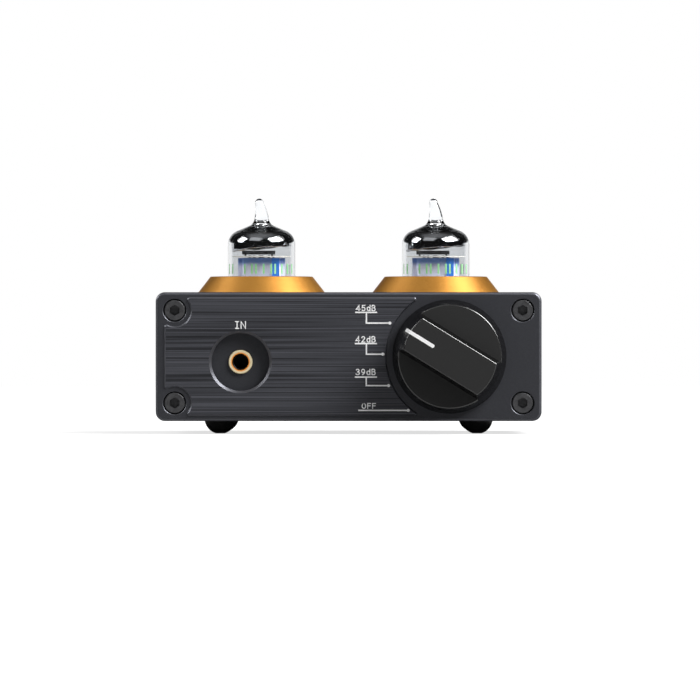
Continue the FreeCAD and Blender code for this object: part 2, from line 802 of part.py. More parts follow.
def input_jack_bush():
    """The turned bush that shows in the recess, chamfered into its bore."""
    lip = recess_floor_y - jack_bush_lip
    length = sleeve_front_y + jack_bush_insertion - lip
    c = jack_bush_chamfer
    points = [(jack_bore_radius + c, 0), (jack_bush_radius - c / 2, 0), (jack_bush_radius, c / 2),
              (jack_bush_radius, length), (jack_bore_radius, length), (jack_bore_radius, c)]
    return turned(points, Vector(jack_x, lip, jack_z), BACK)


def input_jack_body():
    """The jack's moulded body on the board, hollow for the plug."""
    half = jack_body_width / 2
    body = block(Vector(jack_x - half, sleeve_front_y, board_top_z),
                 Vector(jack_x + half, sleeve_front_y + jack_body_length, jack_z + jack_body_rise))
    start = Vector(jack_x, sleeve_front_y, jack_z)
    return cut(body, [cylinder(jack_bush_radius, jack_bush_insertion, start, BACK),
                      cylinder(jack_cavity_radius, jack_cavity_length, start, BACK)])


def switch_bushing():
    """The switch's metal front plate with the threaded bushing that goes through the panel."""
    plate = cylinder(switch_radius, switch_plate_thickness, Vector(switch_x, sleeve_front_y, axis_z), BACK)
    length = panel_thickness + bushing_reach
    neck = cylinder(bushing_radius, length, Vector(switch_x, front_y - bushing_reach, axis_z), BACK)
    bore = cylinder(shaft_radius + shaft_gap, length + switch_plate_thickness,
                    Vector(switch_x, front_y - bushing_reach, axis_z), BACK)
    return fuse([plate, neck]).cut(bore)


def switch_body():
    """The switch's drum, with a blind hole for the end of the shaft."""
    start = Vector(switch_x, sleeve_front_y + switch_plate_thickness, axis_z)
    drum = cylinder(switch_radius, switch_length, start, BACK)
    depth = shaft_inner_length - switch_plate_thickness + shaft_end_gap
    return drum.cut(cylinder(shaft_radius + shaft_gap, depth, start, BACK))


def switch_terminals():
    """A row of wire ends from the drum's back that lies on the board behind the notch."""
    y = sleeve_front_y + switch_plate_thickness + switch_length
    z = board_top_z + terminal_radius
    pins = []
    for k in range(terminal_count):
        x = switch_x + terminal_pitch * (k - (terminal_count - 1) / 2)
        pins.append(cylinder(terminal_radius, terminal_length, Vector(x, y, z), BACK))
    return Part.makeCompound(pins)


def switch_washer():
    return tube(washer_radius, bushing_radius + thread_gap, washer_thickness,
                Vector(switch_x, front_y, axis_z), FRONT)


def switch_nut():
    start = Vector(switch_x, front_y - washer_thickness, axis_z)
    bore = cylinder(bushing_radius + thread_gap, nut_thickness, start, FRONT)
    return hexagon_bar(nut_width, nut_thickness, start, -1).cut(bore)


def shaft_front_y():
    """Where the shaft ends inside the knob's insert."""
    return front_y - knob_gap - knob_cavity_depth - insert_length + insert_floor + shaft_tip_gap


def shaft_key():
    """What the shaft's flat takes away, facing the pointer."""
    flat = Part.makeBox(4 * shaft_radius, shaft_flat_length, 4 * shaft_radius,
                        Vector(shaft_radius - shaft_flat_depth, 0, -2 * shaft_radius))
    flat.rotate(Vector(0, 0, 0), FRONT, knob_pointing)
    flat.translate(Vector(switch_x, shaft_front_y(), axis_z))
    return flat


def switch_shaft():
    """The shaft, with a flat at its front end that keys the knob."""
    length = sleeve_front_y + shaft_inner_length - shaft_front_y()
    return cylinder(shaft_radius, length, Vector(switch_x, shaft_front_y(), axis_z), BACK).cut(shaft_key())


def knob_frame(shape):
    """Places a knob part: its own +Z points forward out of the panel, its own +X along the pointer."""
    placed = shape.copy()
    placed.rotate(Vector(0, 0, 0), Vector(0, 0, 1), knob_pointing)
    placed.rotate(Vector(0, 0, 0), Vector(1, 0, 0), 90)
    placed.translate(Vector(switch_x, front_y - knob_gap, axis_z))
    return placed


def knob_bar(inset):
    """The bar grip: drafted sides and bevelled round ends, drawn in by an inset all over."""
    low = knob_skirt_height - 0.5
    top = knob_skirt_height + knob_bar_height
    slope = (knob_bar_base_half_width - knob_bar_top_half_width) / knob_bar_height
    wide = knob_bar_base_half_width + slope * (top - low - knob_bar_height) - inset
    narrow = knob_bar_top_half_width - inset
    reach = 2 * knob_radius
    points = [Vector(-reach, -wide, low), Vector(-reach, wide, low), Vector(-reach, narrow, top - inset),
              Vector(-reach, -narrow, top - inset), Vector(-reach, -wide, low)]
    prism = Part.Face(Part.makePolygon(points)).extrude(Vector(2 * reach, 0, 0))
    taper = (knob_floor_radius - knob_bar_end_radius) / knob_bar_height
    base_radius = knob_floor_radius + taper * (knob_skirt_height - low) - inset
    cone = Part.makeCone(base_radius, knob_bar_end_radius - inset + taper * inset, top - low - inset,
                         Vector(0, 0, low))
    return prism.common(cone)


def knob_body():
    """The knob before its pointer groove, bore and set screw hole are made."""
    skirt = Part.makeCone(knob_radius, knob_floor_radius, knob_skirt_height)
    rim = edges_where(skirt, lambda p: abs(p.z - knob_skirt_height) < 0.001)
    skirt = skirt.makeFillet(knob_skirt_edge_round, rim)
    bar = knob_bar(0)
    top = knob_skirt_height + knob_bar_height
    edges = edges_where(bar, lambda p: p.z > knob_skirt_height - 0.4 or p.z > top - 0.01)
    edges = [e for e in edges if min(v.Point.z for v in e.Vertexes) > top - 0.01]
    bar = bar.makeFillet(knob_bar_edge_round, edges)
    return fuse([skirt, bar])


def pointer_line(depth):
    """The pointer's slot or inlay: a round-ended line on the bar, over the end bevel, of one depth."""
    half = pointer_width / 2
    low = knob_skirt_height + depth
    high = knob_skirt_height + knob_bar_height + 1
    line = block(Vector(pointer_start + half, -half, low), Vector(knob_radius, half, high))
    end = cylinder(half, high - low, Vector(pointer_start + half, 0, low), UP)
    return fuse([line, end]).cut(knob_bar(depth))


def gain_knob():
    """The moulded knob: skirt and bar, hollow behind for the switch nut, bored for its insert."""
    cavity = cylinder(knob_cavity_radius, knob_cavity_depth, Vector(0, 0, 0), UP)
    seat = cylinder(insert_radius, insert_length, Vector(0, 0, knob_cavity_depth), UP)
    return knob_frame(cut(knob_body(), [cavity, seat, pointer_line(pointer_depth)]))


def knob_pointer():
    """The white inlay, which fills its slot up to the knob's surface."""
    return knob_frame(pointer_line(pointer_depth).common(knob_body()))


def knob_insert():
    """The brass insert, bored for the shaft and keyed to its flat."""
    body = cylinder(insert_radius, insert_length, Vector(0, 0, knob_cavity_depth), UP)
    bore = cylinder(shaft_radius + thread_gap, insert_length - insert_floor,
                    Vector(0, 0, knob_cavity_depth), UP)
    key = shaft_key()
    key.translate(Vector(math.cos(math.radians(knob_pointing)), 0,
                         math.sin(math.radians(knob_pointing))) * thread_gap)
    return knob_frame(body).cut(knob_frame(bore).cut(key))


def rca_shell(x):
    """One socket's outer sleeve, flange and threaded neck through the rear panel, bored for its insulator."""
    inner = rca_shell_radius - rca_shell_wall
    neck = rca_thread_length
    points = [(inner, rca_reach), (rca_shell_radius, rca_reach), (rca_shell_radius, rca_flange_thickness),
              (rca_flange_radius, rca_flange_thickness), (rca_flange_radius, 0), (rca_thread_radius, 0),
              (rca_thread_radius, -neck), (rca_thread_radius - rca_shell_wall, -neck),
              (rca_thread_radius - rca_shell_wall, 0), (inner, 0)]
    return turned(points, Vector(x, rear_y, axis_z), BACK)


def rca_insulator(x):
    """The coloured insulator inside one socket's shell."""
    outer = rca_shell_radius - rca_shell_wall
    neck = rca_thread_radius - rca_shell_wall
    hole = rca_centre_bore + rca_contact_wall
    face = rca_reach - rca_contact_inset
    points = [(rca_centre_bore, face), (outer, face), (outer, 0), (neck, 0), (neck, -rca_thread_length),
              (hole, -rca_thread_length), (hole, face - rca_contact_lip), (rca_centre_bore, face - rca_contact_lip)]
    return turned(points, Vector(x, rear_y, axis_z), BACK)


def rca_contacts():
    """The centre contacts: sleeves that take a plug's pin, each with a solder tail."""
    outer = rca_centre_bore + rca_contact_wall
    front = rca_reach - rca_contact_inset - rca_contact_lip
    contacts = []
    for x in rca_places:
        points = [(rca_centre_bore, front), (outer, front), (outer, -rca_thread_length),
                  (contact_radius, -rca_thread_length), (contact_radius, -rca_thread_length - rca_tail_length),
                  (0, -rca_thread_length - rca_tail_length), (0, -rca_thread_length + 1),
                  (rca_centre_bore, -rca_thread_length + 1)]
        contacts.append(turned(points, Vector(x, rear_y, axis_z), BACK))
    return Part.makeCompound(contacts)


def rca_nuts():
    nuts = []
    for x in rca_places:
        start = Vector(x, sleeve_rear_y, axis_z)
        bore = cylinder(rca_thread_radius + thread_gap, rca_nut_thickness, start, FRONT)
        nuts.append(hexagon_bar(rca_nut_width, rca_nut_thickness, start, -1).cut(bore))
    return Part.makeCompound(nuts)


def ground_post():
    """The ground post: a stud with a collar against the panel."""
    inner = rear_thickness + ground_post_inner_length
    points = [(0, -inner), (ground_post_radius, -inner), (ground_post_radius, 0), (ground_collar_radius, 0),
              (ground_collar_radius, ground_collar_thickness), (ground_post_radius, ground_collar_thickness),
              (ground_post_radius, ground_post_reach - 0.4), (ground_post_radius - 0.4, ground_post_reach),
              (0, ground_post_reach)]
    return turned(points, Vector(ground_x, rear_y, axis_z - ground_drop), BACK)


def ground_thumb_nut():
    """The knurled nut that clamps the ground wire."""
    start = Vector(ground_x, rear_y + ground_nut_start, axis_z - ground_drop)
    nut = cylinder(ground_nut_radius, ground_nut_length, start, BACK)
    ends = [e for e in nut.Edges if isinstance(e.Curve, Part.Circle)]
    nut = nut.makeChamfer(0.4, ends)
    grooves = []
    for k in range(ground_nut_knurls):
        angle = 2 * math.pi * k / ground_nut_knurls
        offset = Vector(math.cos(angle), 0, math.sin(angle)) * ground_nut_radius
        grooves.append(cylinder(ground_nut_knurl_depth, ground_nut_length, start + offset, BACK))
    bore = cylinder(ground_post_radius + ground_nut_gap, ground_nut_length, start, BACK)
    return nut.cut(Part.makeCompound(grooves)).cut(bore)


def ground_lock_nut():
    start = Vector(ground_x, sleeve_rear_y, axis_z - ground_drop)
    bore = cylinder(ground_post_radius + thread_gap, ground_lock_nut_thickness, start, FRONT)
    return hexagon_bar(ground_lock_nut_width, ground_lock_nut_thickness, start, -1).cut(bore)


def inlet_body():
    """The supply inlet: a moulded block on the board with a round nose in the rear panel."""
    half = inlet_body_width / 2
    block_rear = sleeve_rear_y
    body = block(Vector(inlet_x - half, block_rear - inlet_body_length, board_top_z),
                 Vector(inlet_x + half, block_rear, inlet_z() + inlet_body_rise))
    nose = cylinder(inlet_nose_radius, rear_thickness, Vector(inlet_x, block_rear, inlet_z()), BACK)
    cavity = cylinder(inlet_cavity_radius, inlet_cavity_depth, Vector(inlet_x, rear_y, inlet_z()), FRONT)
    seat = cylinder(inlet_pin_radius, inlet_cavity_depth + 2, Vector(inlet_x, rear_y, inlet_z()), FRONT)
    return cut(fuse([body, nose]), [cavity, seat])


def inlet_pin():
    """The inlet's centre pin, rounded at its end."""
    length = inlet_cavity_depth + 2 - inlet_pin_inset
    start = Vector(inlet_x, rear_y - inlet_pin_inset, inlet_z())
    pin = cylinder(inlet_pin_radius, length, start, FRONT)
    end = edges_where(pin, lambda p: abs(p.y - start.y) < 0.001)
    return pin.makeFillet(inlet_pin_radius * 0.6, end)


def on_board(place):
    """A point on the board's top from its place behind the sleeve's front edge."""
    return Vector(place[0], sleeve_front_y + place[1], board_top_z)


def filter_capacitors():
    """Round electrolytic cans standing on the board."""
    cans = []
    for place in can_places:
        can = cylinder(can_radius, can_height, on_board(place), UP)
        top = board_top_z + can_height
        can = can.makeFillet(can_round, edges_where(can, lambda p: abs(p.z - top) < 0.001))
        cans.append(can)
    return Part.makeCompound(cans)


def board_blocks(places, size):
    """Box-shaped parts of one size standing on the board, their corners slightly rounded."""
    blocks = []
    for place in places:
        low = on_board(place) - Vector(size[0] / 2, size[1] / 2, 0)
        body = block(low, low + Vector(*size))
        upright = [e for e in body.Edges if abs(e.tangentAt(e.FirstParameter).z) > 0.99]
        blocks.append(body.makeFillet(0.3, upright))
    return Part.makeCompound(blocks)


def power_inductor():
    """A drum coil between the middle of the board and the right film capacitor."""
    place = on_board((film_x - coil_film_step, coil_depth))
    return tube(coil_radius, coil_bore_radius, coil_height, place, UP)


def all_parts():
    """Every piece of the preamp, as {name: shape}."""
    parts = {
        "case_sleeve": case_sleeve(),
        "front_panel": front_panel(),
        "rear_panel": rear_panel(),
        "front_screws": front_screws(),
        "rear_screws": rear_screws(),
        "main_board": main_board(),
        "input_jack_bush": input_jack_bush(),
        "input_jack_body": input_jack_body(),
        "switch_bushing": switch_bushing(),
        "switch_body": switch_body(),
        "switch_terminals": switch_terminals(),
        "switch_washer": switch_washer(),
        "switch_nut": switch_nut(),
        "switch_shaft": switch_shaft(),
        "gain_knob": gain_knob(),
        "knob_pointer": knob_pointer(),
        "knob_insert": knob_insert(),
        "rca_contacts": rca_contacts(),
        "rca_nuts": rca_nuts(),
        "ground_post": ground_post(),
        "ground_thumb_nut": ground_thumb_nut(),
        "ground_lock_nut": ground_lock_nut(),
        "inlet_body": inlet_body(),
        "inlet_pin": inlet_pin(),
        "filter_capacitors": filter_capacitors(),
        "film_capacitors": board_blocks(film_places, film_size),
        "amplifier_chips": board_blocks(chip_places, chip_size),
        "power_inductor": power_inductor(),
        "ring_nuts": Part.makeCompound([ring_nut(x) for x in tube_axes()]),
    }
    parts.update(feet())
    for side, x in zip(("left", "right"), tube_axes()):
        parts[side + "_tube_ring"] = tube_ring(x)
        parts[side + "_tube_socket"] = tube_socket(x)
        parts[side + "_socket_contacts"] = socket_contacts(x)
        parts[side + "_tube_glass"] = glass_envelope(x)
        parts[side + "_tube_pins"] = tube_pins(x)
        parts[side + "_tube_micas"] = tube_micas(x)
        parts[side + "_tube_plate"] = tube_plate(x)
        parts[side + "_tube_cathode"] = tube_cathode(x)
        parts[side + "_tube_getter"] = tube_getter(x)
    for name, x in zip(rca_names, rca_places):
        parts["rca_%s_shell" % name] = rca_shell(x)
        parts["rca_%s_insulator" % name] = rca_insulator(x)
    return parts


os.makedirs("parts", exist_ok=True)
for name, shape in all_parts().items():
    shape.exportStep("parts/%s.step" % name)
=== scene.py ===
# %% [markdown]
# # A small tube phono preamp on a white ground
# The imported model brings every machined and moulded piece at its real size. This script gives each one
# the surface of the real material, adds the printing, the getter mirrors and the marks on the glass, and
# sets up the light. Everything is in metres, with X to the right, Y to the back and Z up.

# %% Load the model
import bpy
import bmesh
import math
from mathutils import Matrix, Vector


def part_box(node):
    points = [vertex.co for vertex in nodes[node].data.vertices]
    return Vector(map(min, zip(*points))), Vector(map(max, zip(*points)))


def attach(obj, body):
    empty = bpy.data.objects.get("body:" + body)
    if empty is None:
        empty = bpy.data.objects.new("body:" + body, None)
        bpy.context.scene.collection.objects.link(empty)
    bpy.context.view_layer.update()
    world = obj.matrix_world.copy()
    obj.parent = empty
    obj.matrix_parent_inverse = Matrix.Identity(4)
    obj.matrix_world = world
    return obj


bpy.context.scene.view_settings.view_transform = "Standard"
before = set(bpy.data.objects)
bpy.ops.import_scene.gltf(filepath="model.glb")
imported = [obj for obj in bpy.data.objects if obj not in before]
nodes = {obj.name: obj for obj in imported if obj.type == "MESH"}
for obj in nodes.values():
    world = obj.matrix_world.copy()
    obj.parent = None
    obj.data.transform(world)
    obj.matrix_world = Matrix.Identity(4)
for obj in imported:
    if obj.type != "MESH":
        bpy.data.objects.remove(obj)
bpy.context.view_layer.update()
MM = 0.001
SIDES = ("left", "right")
panel_low, panel_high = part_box("front_panel")
field_y = panel_low.y
panel_centre = Vector((0, field_y, (panel_low.z + panel_high.z) / 2))
print("front panel", [round(v / MM, 2) for v in panel_high - panel_low], "mm")

# %% [markdown]
# ## The camera
# The photograph shows no side of the box and hardly any of its top, so it was taken level and from far
# off with a long lens. At 2.4 m the far edge of a ring rises over its near edge by half a pixel, as it
# does there. The lens follows from the panel's size in the picture, and the picture's middle lies a
# little to the right of the panel's middle and above it.

# %% Camera
PIXELS_PER_MM = 3.862
PICTURE_WIDTH = 700
SENSOR_MM = 36.0
CAMERA_AWAY = 2.4
AIM_RIGHT, AIM_UP = 0.35 * MM, 1.72 * MM
camera_data = bpy.data.cameras.new("long_lens")
camera_data.sensor_width = SENSOR_MM
camera_data.lens = PIXELS_PER_MM * CAMERA_AWAY / MM / PICTURE_WIDTH * SENSOR_MM
camera_data.clip_end = 20
camera = bpy.data.objects.new("long_lens", camera_data)
camera.location = panel_centre + Vector((AIM_RIGHT, -CAMERA_AWAY, AIM_UP))
camera.rotation_euler = (math.pi / 2, 0, 0)
bpy.context.scene.collection.objects.link(camera)
bpy.context.scene.camera = camera
print("lens", round(camera_data.lens), "mm")

# %% [markdown]
# ## Helpers for materials
# Colours are written as they look on a screen, in hex, and one function turns them to the linear values
# that a shader needs. Another adds one node with its settings and its links, so that each material reads
# as a list. A Mix node has its inputs for numbers and for colours side by side, so their places get
# names.

# %% Colour and node helpers
NUMBER_A, NUMBER_B, COLOUR_A, COLOUR_B = 2, 3, 6, 7
MIXED_COLOUR = 2


def linear(hex_colour):
    """A hex colour such as "3A3B40" as linear red, green and blue, with full alpha."""
    values = [int(hex_colour[i:i + 2], 16) / 255 for i in (0, 2, 4)]
    return [v / 12.92 if v <= 0.04045 else ((v + 0.055) / 1.055) ** 2.4 for v in values] + [1.0]


def add(tree, kind, links=None, values=None, stops=(), **settings):
    """Adds one node. links maps an input to another node, for its first output, or to one output by itself.
    values maps an input to a number or colour. stops are the places and colours of a colour ramp."""
    node = tree.nodes.new("ShaderNode" + kind)
    for name, value in settings.items():
        setattr(node, name, value)
    for name, value in (values or {}).items():
        node.inputs[name].default_value = value
    for name, source in (links or {}).items():
        tree.links.new(source.outputs[0] if hasattr(source, "outputs") else source, node.inputs[name])
    for k, (place, colour) in enumerate(stops):
        node.color_ramp.elements[k].position = place
        node.color_ramp.elements[k].color = colour
    return node


print("screen grey 808080 is linear", round(linear("808080")[0], 3))

# %% [markdown]
# Every material starts from the piece's own place in metres, so a pattern's size is its real size. Noise
# makes grain, wear and brushed lines. It runs from 0 to 1 but keeps between 0.3 and 0.7 for the most
# part, so colours and roughness are spread over that range.

# %% Places and patterns
NOISE_LOW, NOISE_HIGH = 0.3, 0.7


def new_material(name):
    """An empty material, its tree and the piece's own coordinates in metres."""
    material = bpy.data.materials.new(name)
    material.use_nodes = True
    tree = material.node_tree
    tree.nodes.clear()
    return material, tree, add(tree, "TexCoord").outputs["Object"]


def pattern(tree, place, size_mm, detail=3.0, stretch=(1, 1, 1)):
    """Noise whose grains are about size_mm wide, drawn out along each axis by stretch."""
    scale = [1 / (size_mm * MM * s) for s in stretch]
    mapped = add(tree, "Mapping", {"Vector": place}, {"Scale": scale})
    return add(tree, "TexNoise", {"Vector": mapped}, {"Scale": 1.0, "Detail": detail})


def edges(tree, low=0.25, high=0.96):
    """1 on bevels and fillets, whose normals look neither along Y nor across it, and 0 elsewhere."""
    facing = add(tree, "SeparateXYZ", {0: add(tree, "TexCoord").outputs["Normal"]})
    tilt = add(tree, "Math", {0: facing.outputs["Y"]}, operation="ABSOLUTE")
    over = add(tree, "Math", {0: tilt}, {1: low}, operation="GREATER_THAN")
    under = add(tree, "Math", {0: tilt}, {1: high}, operation="LESS_THAN")
    return add(tree, "Math", {0: over, 1: under}, operation="MULTIPLY")


print("a 0.3 mm grain is a noise scale of", round(1 / (0.3 * MM)), "to the metre")

# %% [markdown]
# ## Anodised aluminium
# The box is aluminium, bead-blasted to a fine even grain of about 0.1 mm and then anodised black. The
# oxide is dark and slightly blue, and keeps some of the metal's sheen. The real grain is too fine to show
# from here, so it is drawn at 0.16 mm, with a small change of tone over 9 mm. The rings on top are
# blasted more coarsely and dyed gold. Gold dye leaves the oxide clear, so it lies on bright metal like a
# thin coat.


# %% Anodised aluminium
def anodised_aluminium(name, dark, light, roughness, metallic, grain_mm=0.16, coat=0.0):
    material, tree, place = new_material(name)
    grain = pattern(tree, place, grain_mm, 2.0)
    cloud = pattern(tree, place, 9.0)
    tone = add(tree, "Math", {0: grain, 1: cloud}, operation="ADD")
    colour = add(tree, "ValToRGB", {"Fac": tone}, stops=[(0.75, linear(dark)), (1.0, linear(light))])
    rough = add(tree, "MapRange", {"Value": grain}, {
        "From Min": NOISE_LOW, "From Max": NOISE_HIGH,
        "To Min": roughness - 0.05, "To Max": roughness + 0.05})
    relief = add(tree, "Bump", {"Height": grain}, {"Distance": 0.01 * MM, "Strength": 0.5})
    shader = add(tree, "BsdfPrincipled", {"Base Color": colour, "Roughness": rough, "Normal": relief},
                 {"Metallic": metallic, "Coat Weight": coat, "Coat Roughness": 0.42})
    add(tree, "OutputMaterial", {"Surface": shader})
    return material


black_anodised = anodised_aluminium("black_anodised_aluminium", "3A3B40", "424348", 0.42, 0.25)
gold_anodised = anodised_aluminium("gold_anodised_bead_blasted_aluminium", "BC7E28", "CC9038", 0.46, 0.9,
                                   grain_mm=0.24, coat=0.5)
print("made", black_anodised.name, "and", gold_anodised.name)

# %% [markdown]
# ## The front panel
# It is one plate with two finishes. The raised field was brushed sideways before anodising, so it carries
# long fine lines, some darker and some lighter. Real ones lie about 0.1 mm apart, too close to show from
# here, so they are drawn as broad lines 0.9 mm apart with fine ones of 0.32 mm over them. The lower frame
# around the field is plain blasted metal. Height tells them apart: what lies within 0.1 mm of the front
# is the field. The bevels are painted lighter and more metallic, partly as wear where the oxide is thin
# and partly as a painted highlight along every edge.


# %% Brushed front
def brushed_front():
    material, tree, place = new_material("brushed_and_blasted_anodised_aluminium")
    depth = add(tree, "SeparateXYZ", {0: place}).outputs["Y"]
    field = add(tree, "Math", {0: depth}, {1: field_y + 0.1 * MM}, operation="LESS_THAN")
    fine = pattern(tree, place, 0.32, 2.0, stretch=(240, 1, 1))
    broad = pattern(tree, place, 0.9, 1.0, stretch=(45, 1, 1))
    lines = add(tree, "Math", {0: broad, 2: fine}, {1: 0.15}, operation="MULTIPLY_ADD")
    brushed = add(tree, "ValToRGB", {"Fac": lines},
                  stops=[(0.4, linear("1E1F23")), (0.75, linear("585960"))])
    grain = pattern(tree, place, 0.16, 2.0)
    blasted = add(tree, "ValToRGB", {"Fac": grain},
                  stops=[(NOISE_LOW, linear("36373C")), (NOISE_HIGH, linear("3E3F44"))])
    colour = add(tree, "Mix", {"Factor": field, COLOUR_A: blasted, COLOUR_B: brushed}, data_type="RGBA")
    # Painted highlight and wear: bevels and fillets get a lighter, more metallic colour.
    worn_and_highlit_edges = edges(tree)
    colour = add(tree, "Mix", {"Factor": worn_and_highlit_edges, COLOUR_A: colour.outputs[MIXED_COLOUR]},
                 {COLOUR_B: linear("6A6B71")}, data_type="RGBA")
    height = add(tree, "Mix", {"Factor": field, NUMBER_A: grain, NUMBER_B: lines}, data_type="FLOAT")
    rough = add(tree, "MapRange", {"Value": height},
                {"From Min": 0.2, "From Max": 0.9, "To Min": 0.5, "To Max": 0.36})
    metal = add(tree, "MapRange", {"Value": worn_and_highlit_edges}, {"To Min": 0.3, "To Max": 0.9})
    relief = add(tree, "Bump", {"Height": height}, {"Distance": 0.015 * MM, "Strength": 0.5})
    shader = add(tree, "BsdfPrincipled", {"Base Color": colour.outputs[MIXED_COLOUR], "Roughness": rough,
                                          "Metallic": metal, "Normal": relief})
    add(tree, "OutputMaterial", {"Surface": shader})
    return material


front_finish = brushed_front()
print("made", front_finish.name)

# %% [markdown]
# ## Steel, brass and nickel
# Small hardware is turned or pressed, and then blackened or plated. One recipe with other colours serves
# it all: the tone and the roughness vary over about a millimetre, as handling leaves them, and tool marks
# of about 0.1 mm lie under the plating.


# %% Plain metals
def plated_metal(name, dark, light, roughness, metallic=1.0):
    material, tree, place = new_material(name)
    wear = pattern(tree, place, 1.2, 4.0)
    colour = add(tree, "ValToRGB", {"Fac": wear},
                 stops=[(NOISE_LOW, linear(dark)), (NOISE_HIGH, linear(light))])
    rough = add(tree, "MapRange", {"Value": wear}, {
        "From Min": NOISE_LOW, "From Max": NOISE_HIGH,
        "To Min": roughness - 0.04, "To Max": roughness + 0.06})
    relief = add(tree, "Bump", {"Height": pattern(tree, place, 0.12, 2.0)},
                 {"Distance": 0.004 * MM, "Strength": 0.4})
    shader = add(tree, "BsdfPrincipled", {"Base Color": colour, "Roughness": rough, "Normal": relief},
                 {"Metallic": metallic})
    add(tree, "OutputMaterial", {"Surface": shader})
    return material


# Black oxide is a thin dark skin, so only part of the steel's mirror shows through it.
black_oxide = plated_metal("black_oxide_steel", "505052", "606062", 0.38, 0.6)
# Nickel is pale and a little warm, gold plating is deep yellow and smooth, and bare brass is duller.
nickel = plated_metal("nickel_plated_steel", "B4B5B8", "CFD0D2", 0.25)
gold_plate = plated_metal("gold_plated_brass", "C9923A", "E8BC62", 0.2)
brass = plated_metal("turned_brass", "A98445", "C29B57", 0.3)
print("made", ", ".join(m.name for m in (black_oxide, nickel, gold_plate, brass)))

# %% [markdown]
# ## The jack's nose
# The jack's gold nose has a black plastic liner inside it, so the ring that shows gold is narrow. The
# liner is told by its distance from the jack's axis. The gold next to it is painted deep orange as the
# liner's shade, and the rim is painted pale as a highlight.

# %% Jack nose
LINER_RADIUS = 2.15 * MM
SHADED_GOLD, BRIGHT_RIM = 2.2 * MM, 2.75 * MM


def jack_nose():
    low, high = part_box("input_jack_bush")
    material, tree, place = new_material("gold_plated_nose_with_black_liner")
    axes = add(tree, "SeparateXYZ", {0: place})
    x = add(tree, "Math", {0: axes.outputs["X"]}, {1: (low.x + high.x) / 2}, operation="SUBTRACT")
    z = add(tree, "Math", {0: axes.outputs["Z"]}, {1: (low.z + high.z) / 2}, operation="SUBTRACT")
    flat = add(tree, "CombineXYZ", {"X": x, "Z": z})
    away = add(tree, "VectorMath", {0: flat}, operation="LENGTH").outputs["Value"]
    gold = add(tree, "Math", {0: away}, {1: LINER_RADIUS}, operation="GREATER_THAN")
    # Painted shade and highlight: deep orange next to the liner, pale towards the rim.
    painted_shade_to_highlight = add(tree, "MapRange", {"Value": away}, {"From Min": SHADED_GOLD, "From Max": BRIGHT_RIM})
    tone = add(tree, "ValToRGB", {"Fac": painted_shade_to_highlight}, stops=[(0.1, linear("FF9A2C")), (0.8, linear("FFEEC4"))])
    colour = add(tree, "Mix", {"Factor": gold, COLOUR_B: tone}, {COLOUR_A: linear("120D0A")},
                 data_type="RGBA")
    metal = add(tree, "MapRange", {"Value": gold}, {"To Max": 0.15})
    relief = add(tree, "Bump", {"Height": pattern(tree, place, 0.15)},
                 {"Distance": 0.004 * MM, "Strength": 0.4})
    shader = add(tree, "BsdfPrincipled",
                 {"Base Color": colour.outputs[MIXED_COLOUR], "Metallic": metal, "Normal": relief},
                 {"Roughness": 0.3})
    add(tree, "OutputMaterial", {"Surface": shader})
    return material


nose_gold = jack_nose()
print("made", nose_gold.name)

# %% [markdown]
# ## Plastics, rubber, board and ceramic
# Moulded parts take the finish of their mould. A soft satin comes from a lightly etched mould, and a
# gloss from a polished one, which a thin clear coat draws here. The feet are rubber, with a dull and
# slightly mottled skin. Printing ink, mica, ceramic and the board's lacquer are as plain, so the same
# recipe serves them.


# %% Moulded and fired materials
def moulded(name, dark, light, roughness, grain_mm=0.2, relief_mm=0.006, coat=0.0):
    material, tree, place = new_material(name)
    grain = pattern(tree, place, grain_mm)
    colour = add(tree, "ValToRGB", {"Fac": pattern(tree, place, 6.0)},
                 stops=[(NOISE_LOW, linear(dark)), (NOISE_HIGH, linear(light))])
    rough = add(tree, "MapRange", {"Value": grain}, {
        "From Min": NOISE_LOW, "From Max": NOISE_HIGH,
        "To Min": roughness - 0.04, "To Max": roughness + 0.04})
    relief = add(tree, "Bump", {"Height": grain}, {"Distance": relief_mm * MM, "Strength": 0.4})
    shader = add(tree, "BsdfPrincipled", {"Base Color": colour, "Roughness": rough, "Normal": relief},
                 {"Metallic": 0.0, "Coat Weight": coat, "Coat Roughness": 0.08})
    add(tree, "OutputMaterial", {"Surface": shader})
    return material


# Housings are satin plastic, and the feet are softer and greyer.
black_abs = moulded("moulded_black_abs", "1A1A1B", "222223", 0.45)
foot_rubber = moulded("moulded_black_rubber", "333333", "3E3E3E", 0.34, grain_mm=0.3, relief_mm=0.01)
# The jacks' bushes are glossy, and their colour tells left from right.
white_nylon = moulded("moulded_white_nylon", "E2E2DE", "EFEFEC", 0.3, coat=0.3)
red_nylon = moulded("moulded_red_nylon", "A81C1C", "C02626", 0.3, coat=0.3)
# The board's lacquer follows the weave of the glass cloth under it, at about 0.5 mm.
solder_mask = moulded("green_solder_mask_on_glass_fibre", "17452A", "1F5634", 0.3,
                      grain_mm=0.5, relief_mm=0.01)
# Ceramic is dull and cream, and mica splits into smooth pale sheets.
steatite = moulded("fired_steatite", "D2CEC2", "E2DED4", 0.55)
mica = moulded("split_mica", "CFCBC0", "E3E0D8", 0.3)
# The cans' film is shrunk tight and shines, and dipped epoxy is a little duller.
can_film = moulded("shrunk_black_film", "181C24", "232833", 0.25, coat=0.3)
potted_film = moulded("potted_red_epoxy", "6E241C", "8A3126", 0.3)
# Both inks are matt. Baked white is the brightest thing on the panel, and green is fired on like enamel.
white_ink = moulded("baked_white_ink", "F0F0F0", "FFFFFF", 0.5, grain_mm=0.1, relief_mm=0.003)
green_ink = moulded("fired_green_ink", "7FC98E", "98DC9E", 0.5, grain_mm=0.1, relief_mm=0.003)
plain_finishes = (black_abs, foot_rubber, white_nylon, red_nylon, solder_mask, steatite, mica, can_film,
                  potted_film, white_ink, green_ink)
print("made", ", ".join(material.name for material in plain_finishes))
